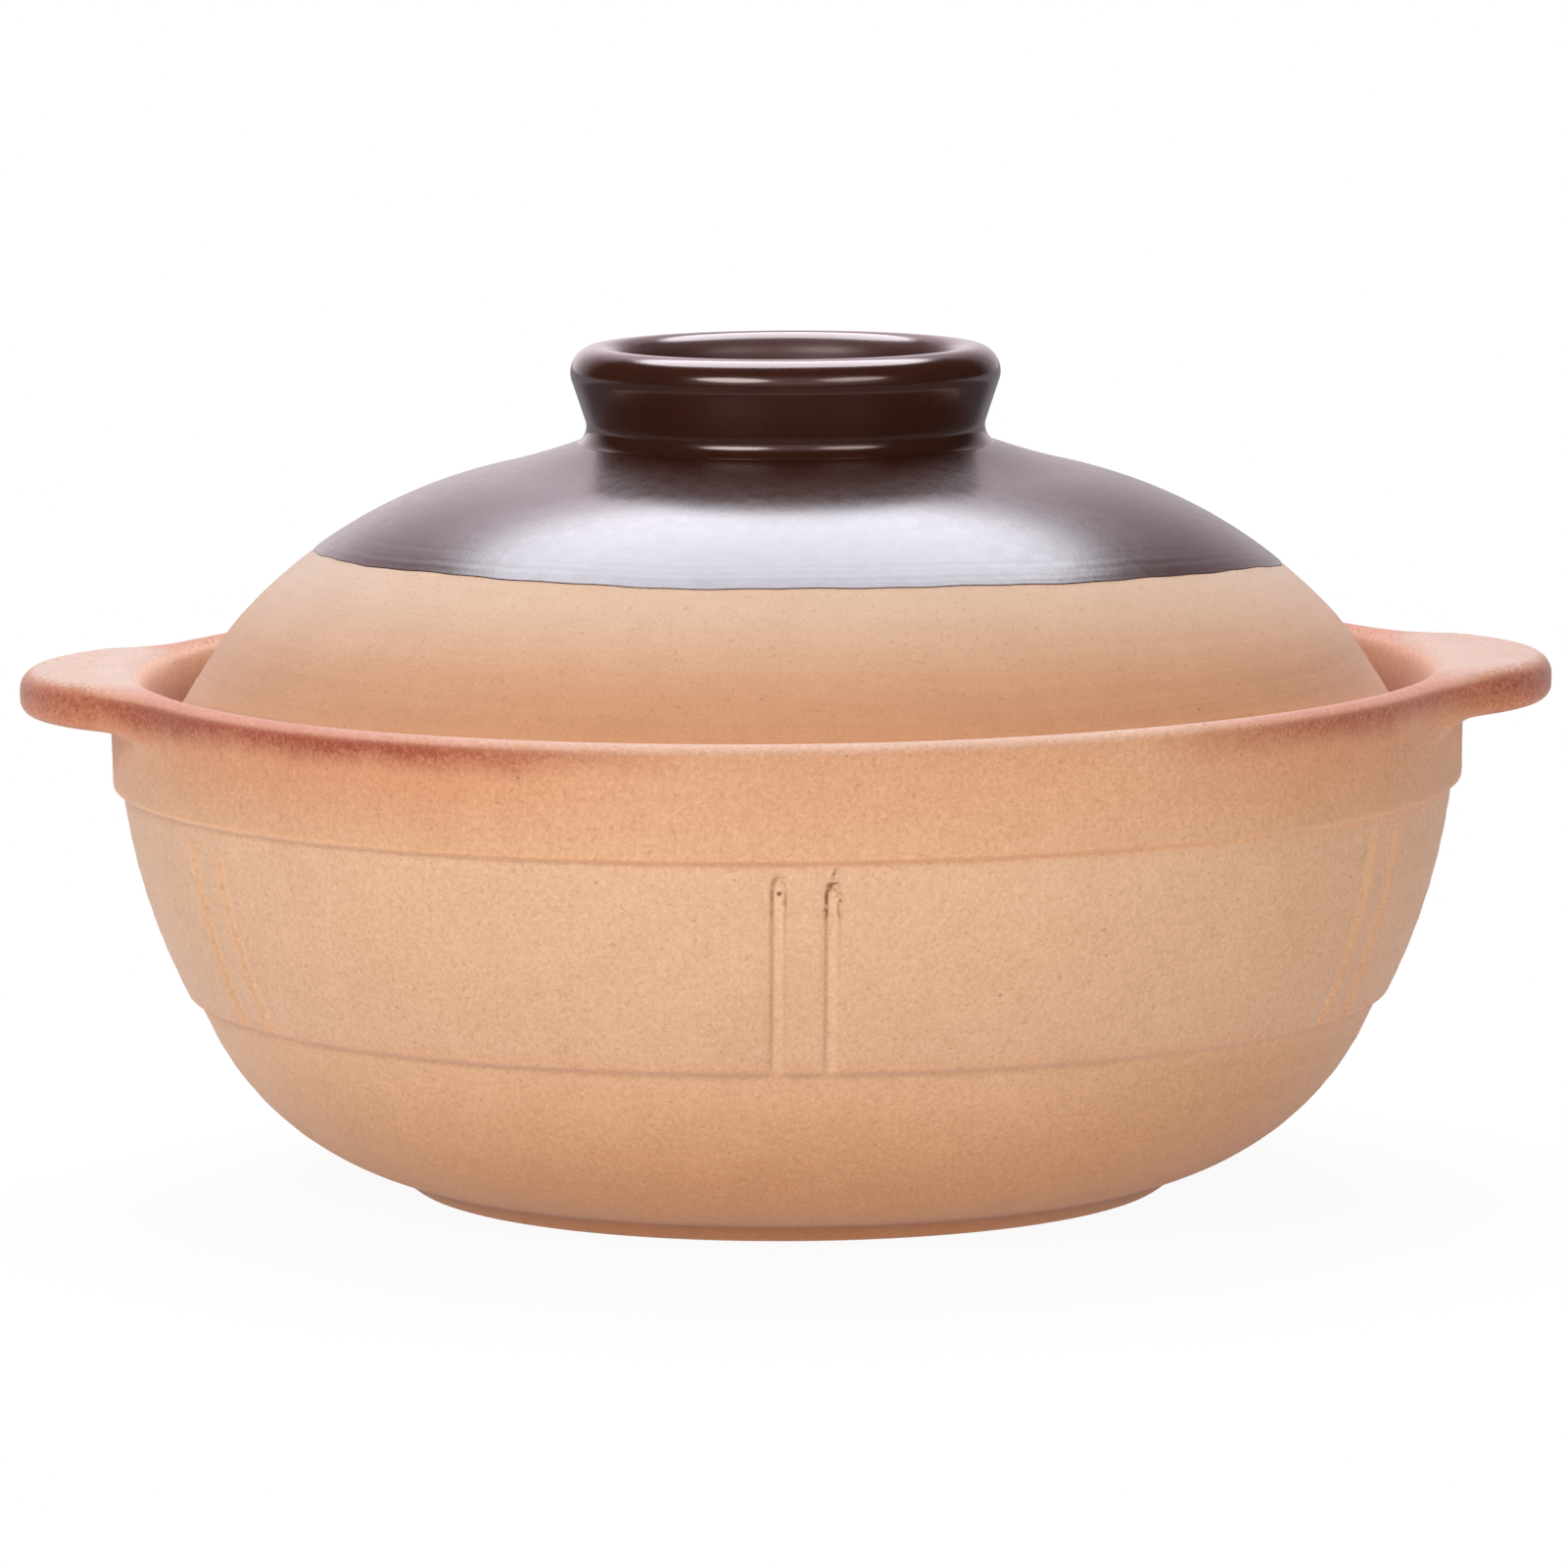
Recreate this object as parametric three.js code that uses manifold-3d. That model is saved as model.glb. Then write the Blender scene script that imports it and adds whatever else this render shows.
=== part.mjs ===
// A clay casserole pot: a round bowl with two lug handles, and a loose domed lid with a hollow ring knob.
// Millimetres, +Z up. The origin is on the table, at the centre of the foot ring.
// +X runs through the right handle, and -Y faces the front.
import * as THREE from "three";
import { mergeVertices } from "three/addons/utils/BufferGeometryUtils.js";
import Module from "manifold-3d";

// Bowl, outside
const COLLAR_RADIUS = 125.3; // widest part of the bowl, under the rim
const RIM_HEIGHT = 97; // from the table to the top of the rim
const RIM_WALL = 5.6; // clay at the rim, which is rolled to a full round
const COLLAR_HEIGHT = 22.8; // from the rim down to the crease under the collar
const COLLAR_FLARE = 0.5; // how far the collar leans out on its way to the rim
const COLLAR_STEP = 2; // how far the collar stands out over the band
const COLLAR_BEVEL = 3; // height of that step's slope
const BAND_LEAN = 10.9; // how far the raised band leans out over its height
const BAND_BULGE = 1.4; // swell of the band off its chord
const STEP_HEIGHT = 35.2; // from the table to the crease under the band
const STEP_BEVEL = 2.9; // slope of the step at that crease, out and up alike
const LOWER_BULGE = 5.4; // swell of the lower wall off its chord
const FOOT_RADIUS = 70.5; // outer edge of the ring that it stands on
const FOOT_WIDTH = 11; // flat width of that ring
const FOOT_RECESS = 2; // hollow under the base, inside the ring
const FOOT_HEIGHT = 3;
const FOOT_FLARE = 2.7; // how far the foot leans out over its height

// Bowl, inside
const WALL = 9; // clay at the foot of the band, measured level
const BASE_THICKNESS = 7;
const FLOOR_INSET = 7.5; // from the foot's outer edge in to the floor's rounding
const FLOOR_BULGE = 4.8; // swell of the lower inner wall off its chord
const INNER_BULGE = 1.4; // swell of the upper inner wall off its chord
const GALLERY_DEPTH = 15; // from the rim down to the ledge that carries the lid
const GALLERY_DRAFT = 1.3; // how far the wall over the ledge opens on its way up
const LEDGE_WIDTH = 6;
const LEDGE_LIP = 3; // bare clay under the ledge's edge, over the glaze

// Upright grooves in the band, in pairs
const GROOVE_PAIRS = 6;
const GROOVE_SPACING = 9.5; // from centre to centre in a pair
const GROOVE_WIDTH = 2.4;
const GROOVE_DEPTH = 1.1;
const GROOVE_END = 3; // plain band left over each groove

// Lug handles
const HANDLE_REACH = 16.7; // from the collar to the tip
const HANDLE_RADIUS = 39; // round of the lug, seen from above
const HANDLE_FILLET = 25; // hollow curve that leads the lug into the collar
const HANDLE_THICKNESS = 8;
const HANDLE_EDGE = 3; // rounding of its edges
const EDGE_LIMIT = 0.4; // most of its thickness that one rounding may take

// Lid
const LID_CLEARANCE = 2.5; // between the lid's edge and the collar, all round
const SEAT_GAP = 0.3; // under the lid, on the ledge
const LID_EDGE = 2; // rounding of the lid's lower edge
const LID_WALL = 6;
const DOME_RISE = 53.2; // from the ledge up to the flat crown of the dome
const DOME_BULGE = 13.8; // swell of the dome off its chord
const CROWN_RADIUS = 35;

// Ring knob, measured up from the crown and out from the neck
const KNOB_HEIGHT = 20.8;
const KNOB_NECK_RADIUS = 36.9;
const KNOB_NECK_HEIGHT = 6;
const KNOB_LIP_SPREAD = 2.8; // how far the lip stands out over the neck
const KNOB_ROLL = 4.4; // rounding of the lip
const KNOB_FOOT_SPREAD = 6; // how far the fillet under the neck stands out
const KNOB_FOOT_EDGE = 0.6; // clay at that fillet's thin edge
const KNOB_FILLET = 1.5; // hollow of that fillet off its chord
const KNOB_WALL = 8.4; // clay between the neck and the knob's hollow
const KNOB_FLOOR = 5.3; // clay under the hollow

// Glaze coats and the joints made with slip
const JOINT_GAP = 0.3; // left at every slip joint and under every glaze coat
const GLAZE = 0.6; // thickness of a glaze coat
const DIP_DROP = 18.2; // from the crown down to the line that the lid was dipped to
const DIP_LEAN_X = -0.75; // degrees that this line rises towards the right handle
const DIP_LEAN_Y = -1.8; // degrees that this line rises towards the back

// Fineness of the round shapes
const TURN_STEPS = 60; // facets round a turned piece
const KNOB_STEPS = 48; // facets round the knob
const ARC_STEPS = 4; // facets along a profile's arc
const DOME_STEPS = 8; // facets up the dome
const EDGE_STEPS = 3; // facets over a rounded edge
const LIP_STEPS = 6; // facets over a rolled lip
const PLAN_STEPS = 8; // facets along each curve of a lug's plan
const MERGE = 1e-3; // corners closer than this are one

const QUARTER_BULGE = 1 - Math.SQRT1_2; // a quarter circle of radius 1 stands this far off its chord

const CLAY = new THREE.MeshStandardMaterial({ color: 0xd6a47c, roughness: 0.9, metalness: 0 });
const BROWN_GLAZE = new THREE.MeshStandardMaterial({ color: 0x33190f, roughness: 0.25, metalness: 0 });

const wasm = await Module();
wasm.setup();

// Profile points are [radius, height] pairs.
// An arc from one point to another. Its middle stands off the chord by bulge, to the right of its way.
function arc(from, to, bulge, steps = ARC_STEPS) {
  if (bulge === 0) return [from, to];
  const [runR, runZ] = [to[0] - from[0], to[1] - from[1]];
  const chord = Math.hypot(runR, runZ);
  const [alongR, alongZ] = [runR / chord, runZ / chord];
  const radius = (chord * chord) / (8 * bulge) + bulge / 2;
  const halfAngle = 2 * Math.atan((2 * bulge) / chord);
  const middle = [(from[0] + to[0]) / 2, (from[1] + to[1]) / 2];
  return Array.from({ length: steps + 1 }, (_, i) => {
    const angle = ((2 * i) / steps - 1) * halfAngle;
    const along = radius * Math.sin(angle);
    const off = radius * Math.cos(angle) - radius + bulge;
    return [middle[0] + along * alongR + off * alongZ, middle[1] + along * alongZ - off * alongR];
  });
}

// Points round a centre, from one angle to another.
function round(centre, radius, from, to) {
  return Array.from({ length: PLAN_STEPS + 1 }, (_, i) => {
    const angle = from + ((to - from) * i) / PLAN_STEPS;
    return [centre[0] + radius * Math.cos(angle), centre[1] + radius * Math.sin(angle)];
  });
}

// A row of profile points moved by a distance to the right of its way.
function offset(points, distance) {
  return points.map((point, i) => {
    const before = points[Math.max(i - 1, 0)];
    const after = points[Math.min(i + 1, points.length - 1)];
    const [runR, runZ] = [after[0] - before[0], after[1] - before[1]];
    const scale = distance / Math.hypot(runR, runZ);
    return [point[0] + runZ * scale, point[1] - runR * scale];
  });
}

// The point where a row of profile points passes a given radius (axis 0) or height (axis 1).
function pointAt(points, axis, value) {
  const after = points.findIndex((p, i) => i > 0 && (p[axis] - value) * (points[i - 1][axis] - value) <= 0);
  const [from, to] = [points[after - 1], points[after]];
  const share = (value - from[axis]) / (to[axis] - from[axis]);
  return [from[0] + share * (to[0] - from[0]), from[1] + share * (to[1] - from[1])];
}

// A row of points without those that repeat the one before.
function withoutRepeats(points) {
  const apart = (a, b) => Math.hypot(a[0] - b[0], a[1] - b[1]) > MERGE;
  return points.filter((point, i) => i === 0 || apart(point, points[i - 1]));
}

// A profile turned about the Z axis. It runs up the outside and down the inside.
function turned(points, steps = TURN_STEPS) {
  const outline = withoutRepeats(points).map(([r, z]) => new THREE.Vector2(r, z));
  return new THREE.LatheGeometry(outline, steps).rotateX(Math.PI / 2);
}

// A geometry as a solid that can be cut.
function solid(geometry) {
  const bare = new THREE.BufferGeometry().setAttribute("position", geometry.getAttribute("position"));
  bare.setIndex(geometry.index);
  const merged = mergeVertices(bare, MERGE);
  const vertProperties = merged.getAttribute("position").array;
  const triVerts = new Uint32Array(merged.index.array);
  return new wasm.Manifold(new wasm.Mesh({ numProp: 3, vertProperties, triVerts }));
}

// The geometry of a cut solid.
function geometryOf(cut) {
  const mesh = cut.getMesh();
  const geometry = new THREE.BufferGeometry();
  geometry.setAttribute("position", new THREE.BufferAttribute(mesh.vertProperties, mesh.numProp));
  geometry.setIndex(new THREE.BufferAttribute(mesh.triVerts, 1));
  geometry.computeVertexNormals();
  return geometry;
}

function piece(name, geometry, material) {
  const mesh = new THREE.Mesh(geometry, material);
  mesh.name = name;
  return mesh;
}

// Corners of the bowl's profile
const lipHeight = RIM_HEIGHT - RIM_WALL / 2;
const lipOuter = [COLLAR_RADIUS, lipHeight];
const lipInner = [COLLAR_RADIUS - RIM_WALL, lipHeight];
const bandHigh = [COLLAR_RADIUS - COLLAR_FLARE - COLLAR_STEP, RIM_HEIGHT - COLLAR_HEIGHT];
const collarLow = [bandHigh[0] + COLLAR_STEP, bandHigh[1] + COLLAR_BEVEL];
const bandLow = [bandHigh[0] - BAND_LEAN, STEP_HEIGHT + STEP_BEVEL];
const stepLow = [bandLow[0] - STEP_BEVEL, STEP_HEIGHT];
const footTop = [FOOT_RADIUS + FOOT_FLARE, FOOT_HEIGHT];
const galleryRadius = lipInner[0] - GALLERY_DRAFT;
const ledgeHeight = RIM_HEIGHT - GALLERY_DEPTH;
const ledgeInner = galleryRadius - LEDGE_WIDTH;
const floorHeight = FOOT_RECESS + BASE_THICKNESS;

// Stretches of the bowl's profile that other pieces follow
const collarFace = [collarLow, ...arc(lipOuter, lipInner, RIM_WALL / 2, LIP_STEPS)];
const innerTop = [ledgeInner, ledgeHeight - LEDGE_LIP];
const innerWaist = [bandLow[0] - WALL, bandLow[1]];
const innerWall = [
  ...arc(innerTop, innerWaist, -INNER_BULGE),
  ...arc(innerWaist, [FOOT_RADIUS - FLOOR_INSET, floorHeight], -FLOOR_BULGE).slice(1),
];

// The solid that cuts one groove: side is its place in the pair, angle the pair's place round the bowl.
function groove(side, angle) {
  const floorLow = [bandLow[0] - GROOVE_DEPTH, bandLow[1]];
  const floorHigh = [bandHigh[0] - GROOVE_DEPTH, bandHigh[1]];
  const floor = arc(floorLow, floorHigh, BAND_BULGE);
  const top = bandHigh[1] - GROOVE_END;
  const lean = (floor[1][0] - floor[0][0]) / (floor[1][1] - floor[0][1]);
  const runOut = [floorLow[0] - lean * STEP_BEVEL, STEP_HEIGHT];
  const clear = COLLAR_RADIUS + GROOVE_DEPTH;
  const bottom = [runOut, ...floor.filter(([, z]) => z < top), pointAt(floor, 1, top)];
  const outline = [...bottom, [clear, top], [clear, STEP_HEIGHT]];
  const shape = new THREE.Shape(outline.map(([r, z]) => new THREE.Vector2(r, z)));
  const slab = new THREE.ExtrudeGeometry(shape, { depth: GROOVE_WIDTH, bevelEnabled: false });
  slab.rotateX(Math.PI / 2);
  slab.translate(0, (GROOVE_WIDTH + side * GROOVE_SPACING) / 2, 0);
  return solid(slab.rotateZ(angle));
}

function bowl() {
  const profile = [
    [0, FOOT_RECESS],
    [FOOT_RADIUS - FOOT_WIDTH - FOOT_RECESS, FOOT_RECESS],
    [FOOT_RADIUS - FOOT_WIDTH, 0],
    [FOOT_RADIUS, 0],
    ...arc(footTop, stepLow, LOWER_BULGE),
    ...arc(bandLow, bandHigh, BAND_BULGE),
    ...collarFace,
    [galleryRadius, ledgeHeight],
    [ledgeInner, ledgeHeight],
    ...innerWall,
    [0, floorHeight],
  ];
  let body = solid(turned(profile));
  for (let pair = 0; pair < GROOVE_PAIRS; pair++) {
    const angle = -Math.PI / 2 + (pair * 2 * Math.PI) / GROOVE_PAIRS;
    for (const side of [-1, 1]) body = body.subtract(groove(side, angle));
  }
  return geometryOf(body);
}

// The plan of the right-hand lug: a round tongue, led into the collar by a hollow curve on each side.
function lugPlan() {
  const centre = COLLAR_RADIUS + HANDLE_REACH - HANDLE_RADIUS;
  const lugToFillet = HANDLE_RADIUS + HANDLE_FILLET;
  const axisToFillet = COLLAR_RADIUS + HANDLE_FILLET;
  const filletX = (axisToFillet ** 2 + centre ** 2 - lugToFillet ** 2) / (2 * centre);
  const filletY = Math.sqrt(axisToFillet ** 2 - filletX ** 2);
  const lugAngle = Math.atan2(filletY, filletX - centre);
  const rootAngle = Math.atan2(filletY, filletX);
  const root = COLLAR_RADIUS - RIM_WALL;
  const side = [
    [root * Math.cos(rootAngle), root * Math.sin(rootAngle)],
    ...round([filletX, filletY], HANDLE_FILLET, Math.PI + rootAngle, Math.PI + lugAngle),
    ...round([centre, 0], HANDLE_RADIUS, lugAngle, 0),
  ];
  const mirrored = side.map(([x, y]) => [x, -y]).reverse();
  return new THREE.Shape(withoutRepeats([...side, ...mirrored]).map(([x, y]) => new THREE.Vector2(x, y)));
}

// A lug handle, cut to the collar that it is joined to.
function handle(turn) {
  const edge = Math.min(HANDLE_EDGE, EDGE_LIMIT * HANDLE_THICKNESS);
  const lug = new THREE.ExtrudeGeometry(lugPlan(), {
    depth: HANDLE_THICKNESS - 2 * edge,
    bevelThickness: edge,
    bevelSize: edge,
    bevelOffset: -edge,
    bevelSegments: EDGE_STEPS,
  });
  lug.translate(0, 0, RIM_HEIGHT - HANDLE_THICKNESS + edge);
  const face = offset(collarFace, JOINT_GAP).slice(0, 2 + LIP_STEPS / 2);
  const seat = turned([[0, face[0][1]], ...face, [0, face[face.length - 1][1]]]);
  return geometryOf(solid(lug.rotateZ(turn)).subtract(solid(seat)));
}

// The coat of glass inside the bowl, from under the ledge to the middle of the floor.
function innerGlaze() {
  const backed = [...innerWall, [0, floorHeight]];
  const back = offset(backed, JOINT_GAP).slice(0, -1);
  const front = offset(backed, JOINT_GAP + GLAZE).slice(0, -1);
  const middle = [[0, floorHeight + JOINT_GAP + GLAZE]];
  return turned([[0, floorHeight + JOINT_GAP], ...back.reverse(), ...front, ...middle]);
}

// Corners and stretches of the lid's profile
const lidRadius = galleryRadius - LID_CLEARANCE;
const lidBase = ledgeHeight + SEAT_GAP;
const crownHeight = ledgeHeight + DOME_RISE;
const domeFace = arc([lidRadius, lidBase + LID_EDGE], [CROWN_RADIUS, crownHeight], DOME_BULGE, DOME_STEPS);
const domeTop = [...domeFace, [0, crownHeight]];
const knobFoot = KNOB_NECK_RADIUS + KNOB_FOOT_SPREAD;

function lidDome() {
  const inside = offset(domeFace, -LID_WALL).reverse();
  const profile = [
    [0, crownHeight - LID_WALL],
    ...inside.slice(0, -1),
    [lidRadius - LID_WALL, lidBase],
    ...arc([lidRadius - LID_EDGE, lidBase], domeFace[0], LID_EDGE * QUARTER_BULGE, EDGE_STEPS),
    ...domeTop,
  ];
  return turned(profile);
}

// The knob's underside follows the dome, and its lip is a full round over a leaning neck.
function lidKnob() {
  const lipRadius = KNOB_NECK_RADIUS + KNOB_LIP_SPREAD;
  const rollHeight = crownHeight + KNOB_HEIGHT - KNOB_ROLL;
  const neck = [KNOB_NECK_RADIUS, crownHeight + KNOB_NECK_HEIGHT];
  const seated = [...domeTop.filter(([r]) => r < knobFoot).reverse(), pointAt(domeTop, 0, knobFoot)];
  const underside = seated.map(([r, z]) => [r, z + JOINT_GAP]);
  const footEdge = [knobFoot, underside[underside.length - 1][1] + KNOB_FOOT_EDGE];
  const hollowFloor = crownHeight + JOINT_GAP + KNOB_FLOOR;
  const profile = [
    ...underside,
    ...arc(footEdge, neck, -KNOB_FILLET),
    ...arc([lipRadius, rollHeight], [lipRadius - 2 * KNOB_ROLL, rollHeight], KNOB_ROLL, LIP_STEPS),
    [KNOB_NECK_RADIUS - KNOB_WALL, hollowFloor],
    [0, hollowFloor],
  ];
  return turned(profile, KNOB_STEPS);
}

// The coat of glass on the dome, from the knob's foot down to the line that the lid was dipped to.
function lidGlaze() {
  const start = knobFoot + JOINT_GAP;
  const coated = [...domeTop.filter(([r]) => r > start), pointAt(domeTop, 0, start)];
  const front = offset(coated, JOINT_GAP + GLAZE);
  const back = offset(coated, JOINT_GAP).reverse();
  const coat = solid(turned([...front, ...back, front[0]]));
  const dipHeight = crownHeight - DIP_DROP;
  const bare = new THREE.BoxGeometry(4 * COLLAR_RADIUS, 4 * COLLAR_RADIUS, 2 * dipHeight);
  bare.translate(0, 0, -dipHeight);
  bare.rotateY(-THREE.MathUtils.degToRad(DIP_LEAN_X));
  bare.rotateX(THREE.MathUtils.degToRad(DIP_LEAN_Y));
  bare.translate(0, 0, dipHeight);
  return geometryOf(coat.subtract(solid(bare)));
}

const pot = new THREE.Group();
pot.add(piece("bowl", bowl(), CLAY));
pot.add(piece("left_handle", handle(Math.PI), CLAY));
pot.add(piece("right_handle", handle(0), CLAY));
pot.add(piece("inner_glaze", innerGlaze(), BROWN_GLAZE));

const lid = new THREE.Group();
lid.add(piece("lid_dome", lidDome(), CLAY));
lid.add(piece("lid_knob", lidKnob(), BROWN_GLAZE));
lid.add(piece("lid_glaze", lidGlaze(), BROWN_GLAZE));

const casserole = new THREE.Group();
casserole.add(pot, lid);

export default casserole;
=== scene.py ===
# %% [markdown]
# A clay casserole pot, in Blender.
# The pot is a thrown bowl of bare clay with two lug handles, and a loose domed lid that was dipped in brown glaze.
# Its solids come packed from the CAD model. This lesson gives each of them a finer surface and a finish.
# Every piece is worked out with numpy as a grid of points in millimetres, and goes into Blender in metres.

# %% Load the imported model
import math
from types import SimpleNamespace

import bpy
import numpy as np
from mathutils import Matrix, Vector


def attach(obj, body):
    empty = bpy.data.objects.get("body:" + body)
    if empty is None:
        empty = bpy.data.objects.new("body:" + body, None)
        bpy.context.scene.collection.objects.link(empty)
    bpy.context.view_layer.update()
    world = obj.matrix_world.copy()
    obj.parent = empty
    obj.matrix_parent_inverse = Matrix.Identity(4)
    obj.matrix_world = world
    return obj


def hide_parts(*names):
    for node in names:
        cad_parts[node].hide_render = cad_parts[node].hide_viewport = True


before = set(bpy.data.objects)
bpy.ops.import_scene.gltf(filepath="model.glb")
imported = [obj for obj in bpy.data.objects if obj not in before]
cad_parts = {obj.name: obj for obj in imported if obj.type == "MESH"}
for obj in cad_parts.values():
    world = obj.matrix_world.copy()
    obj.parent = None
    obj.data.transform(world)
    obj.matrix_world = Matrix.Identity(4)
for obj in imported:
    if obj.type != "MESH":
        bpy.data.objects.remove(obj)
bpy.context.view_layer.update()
MM = 0.001
scene = bpy.context.scene
scene.view_settings.view_transform = "Standard"
print("solids:", ", ".join(sorted(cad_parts)))

# %% [markdown]
# The camera comes first, because every later choice is judged through it.
# The ovals of the foot, band, collar and rim say how high the view is: about seven degrees.
# A long lens from far off keeps those ovals nearly flat, as they are on the photograph.
# The camera stands a little to the left, and leans a little, because the pot wasn't set quite square to it.

# %% Camera
VIEW_DISTANCE = 1.8
VIEW_HEIGHT = math.radians(7.06)
VIEW_TURN = math.radians(-1.55)
VIEW_LEAN = math.radians(0.25)
AIM = Vector((-0.00060, 0, 0.0743))
LENS = 222.6
SENSOR = 36
SIGHT = 100  # how far the camera sees, in metres

level = math.cos(VIEW_HEIGHT)
back = Vector((math.sin(VIEW_TURN) * level, -math.cos(VIEW_TURN) * level, math.sin(VIEW_HEIGHT)))
right = Vector((math.cos(VIEW_TURN), math.sin(VIEW_TURN), 0))
up = back.cross(right)
tilted_right = math.cos(VIEW_LEAN) * right - math.sin(VIEW_LEAN) * up
tilted_up = math.sin(VIEW_LEAN) * right + math.cos(VIEW_LEAN) * up

camera_data = bpy.data.cameras.new("camera")
camera_data.lens = LENS
camera_data.sensor_width = SENSOR
camera_data.clip_end = SIGHT
camera = bpy.data.objects.new("camera", camera_data)
turned_axes = Matrix((tilted_right, tilted_up, back)).transposed().to_4x4()
camera.matrix_world = Matrix.Translation(AIM + back * VIEW_DISTANCE) @ turned_axes
scene.collection.objects.link(camera)
scene.camera = camera
print("camera at", [round(x, 3) for x in camera.location])

# %% [markdown]
# A thrown pot is a profile that is turned about an axis, so its outline is drawn once and carried round.
# The outline could be a Bezier curve, but clay edges are simple: straight runs with rounded corners.
# So an outline here is a row of corners with a rounding for each, and the points are worked out along it.

# %% Rounded outlines
def rounded_path(corners, roundings, count, crowd=3.0):
    """Points along straight runs whose corners are rounded to arcs.

    A corner that turns the way by an angle is replaced by an arc of the given radius.
    The arc starts and ends at radius * tan(angle / 2) from the corner.
    The points are spread evenly over the length, where an arc counts (1 + crowd / radius) times its own.
    corners has the shape (..., corners, 2), so many outlines are worked out at once.
    """
    corners = np.asarray(corners, float)
    way = np.diff(corners, axis=-2)
    length = np.hypot(way[..., 0], way[..., 1])
    heading = np.unwrap(np.arctan2(way[..., 1], way[..., 0]), axis=-1)
    turn = np.diff(heading, axis=-1)
    radius = np.broadcast_to(np.asarray(roundings, float), turn.shape)
    cut = radius * np.tan(np.abs(turn) / 2)
    straight = length.copy()
    straight[..., :-1] -= cut
    straight[..., 1:] -= cut
    assert straight.min() > -1e-6, f"a rounding is too large: {straight.min():.3f}"

    steps = np.zeros(length.shape[:-1] + (2 * length.shape[-1] - 1,))
    steps[..., 0::2] = straight
    steps[..., 1::2] = radius * np.abs(turn)
    weight = np.ones_like(steps)
    weight[..., 1::2] += crowd / radius
    ends = np.cumsum(steps * weight, axis=-1)
    starts = ends - steps * weight
    along = np.linspace(0, 1, count) * ends[..., -1:]
    walked = (along[..., None, :] - starts[..., :, None]) / weight[..., :, None]
    walked = np.clip(walked, 0, steps[..., :, None])

    straight_walk, arc_walk = walked[..., 0::2, :], walked[..., 1::2, :]
    facing = heading[..., :, None]
    entry = heading[..., :-1, None]
    signed = (radius * np.where(turn < 0, -1, 1))[..., None]
    r = (straight_walk * np.cos(facing)).sum(-2)
    z = (straight_walk * np.sin(facing)).sum(-2)
    r = r + (signed * (np.sin(entry + arc_walk / signed) - np.sin(entry))).sum(-2)
    z = z + (signed * (np.cos(entry) - np.cos(entry + arc_walk / signed))).sum(-2)
    return np.stack([r, z], axis=-1) + corners[..., :1, :]


def joined(*paths):
    """Outlines joined end to end. Each starts where the one before it ends, so that point is kept once."""
    return np.concatenate([paths[0], *(path[..., 1:, :] for path in paths[1:])], axis=-2)


def ease(low, high, value):
    """0 below low, 1 above high, and t * t * (3 - 2 * t) of the share t between them."""
    share = np.clip((value - low) / (high - low), 0, 1)
    return share * share * (3 - 2 * share)


sample = rounded_path([(0, 0), (10, 0), (10, 10)], [4], 5)
print("a rounded corner:", np.round(sample, 2).tolist())

# %% [markdown]
# An outline that is carried round gives a grid of points: columns run round the pot, and rows run along the outline.
# A modifier such as Screw could do this, but here the outline may change from column to column, as it does at a handle.

# %% Outlines carried round
def turned(outline, angles):
    """Outlines carried round: x = r cos(angle), y = r sin(angle).

    One outline serves all angles, or each angle has its own.
    """
    shape = (len(angles), outline.shape[-2])
    r, z = np.broadcast_to(outline[..., 0], shape), np.broadcast_to(outline[..., 1], shape)
    spin = angles[:, None]
    return np.stack([r * np.cos(spin), r * np.sin(spin), z], axis=-1)


def even_angles(count):
    """Angles that share a full turn evenly."""
    return np.arange(count) * (2 * math.pi / count)


print("a point carried round:", np.round(turned(sample[1:2], even_angles(4))[:, 0], 1).tolist())

# %% [markdown]
# A grid of points becomes a mesh of four-sided faces.
# Columns always close on themselves. Rows close too where the outline is a loop, as it is for a coat of glaze.
# Where an outline starts or ends on the axis, the whole row there is one point with a fan of triangles.

# %% Grids into meshes
AXIS = 1e-6  # closer to the axis than this, in mm, is on it


def grid_piece(name, grid, loop=False):
    """An object from a grid of points in mm, shape (columns, rows, 3), that closes round its columns."""
    columns, rows = grid.shape[:2]
    index = np.arange(columns * rows).reshape(columns, rows)
    on_axis = (np.hypot(grid[..., 0], grid[..., 1]) < AXIS).all(axis=0)
    across = np.roll(index, -1, axis=0)
    last = rows if loop else rows - 1
    first = 0
    fans = []
    if on_axis[0]:
        fans.append(np.stack([np.full(columns, index[0, 0]), across[:, 1], index[:, 1]], axis=-1))
        first = 1
    if on_axis[-1]:
        fans.append(np.stack([index[:, -2], across[:, -2], np.full(columns, index[0, -1])], axis=-1))
        last = rows - 2
    here = np.arange(first, last)
    there = (here + 1) % rows
    quads = np.stack([index[:, here], across[:, here], across[:, there], index[:, there]], axis=-1).reshape(-1, 4)
    faces = quads.tolist() + [fan for group in fans for fan in group.tolist()]
    used = np.unique(np.concatenate([quads.ravel(), *(group.ravel() for group in fans)]))
    renumber = np.zeros(columns * rows, int)
    renumber[used] = np.arange(len(used))
    faces = [[int(renumber[i]) for i in face] for face in faces]

    mesh = bpy.data.meshes.new(name)
    mesh.from_pydata(grid.reshape(-1, 3)[used] * MM, [], faces)
    mesh.shade_smooth()
    piece = bpy.data.objects.new(name, mesh)
    scene.collection.objects.link(piece)
    print(f"{name}: {len(used)} points, {2 * len(quads) + sum(map(len, fans))} triangles")
    return piece, used


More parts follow.
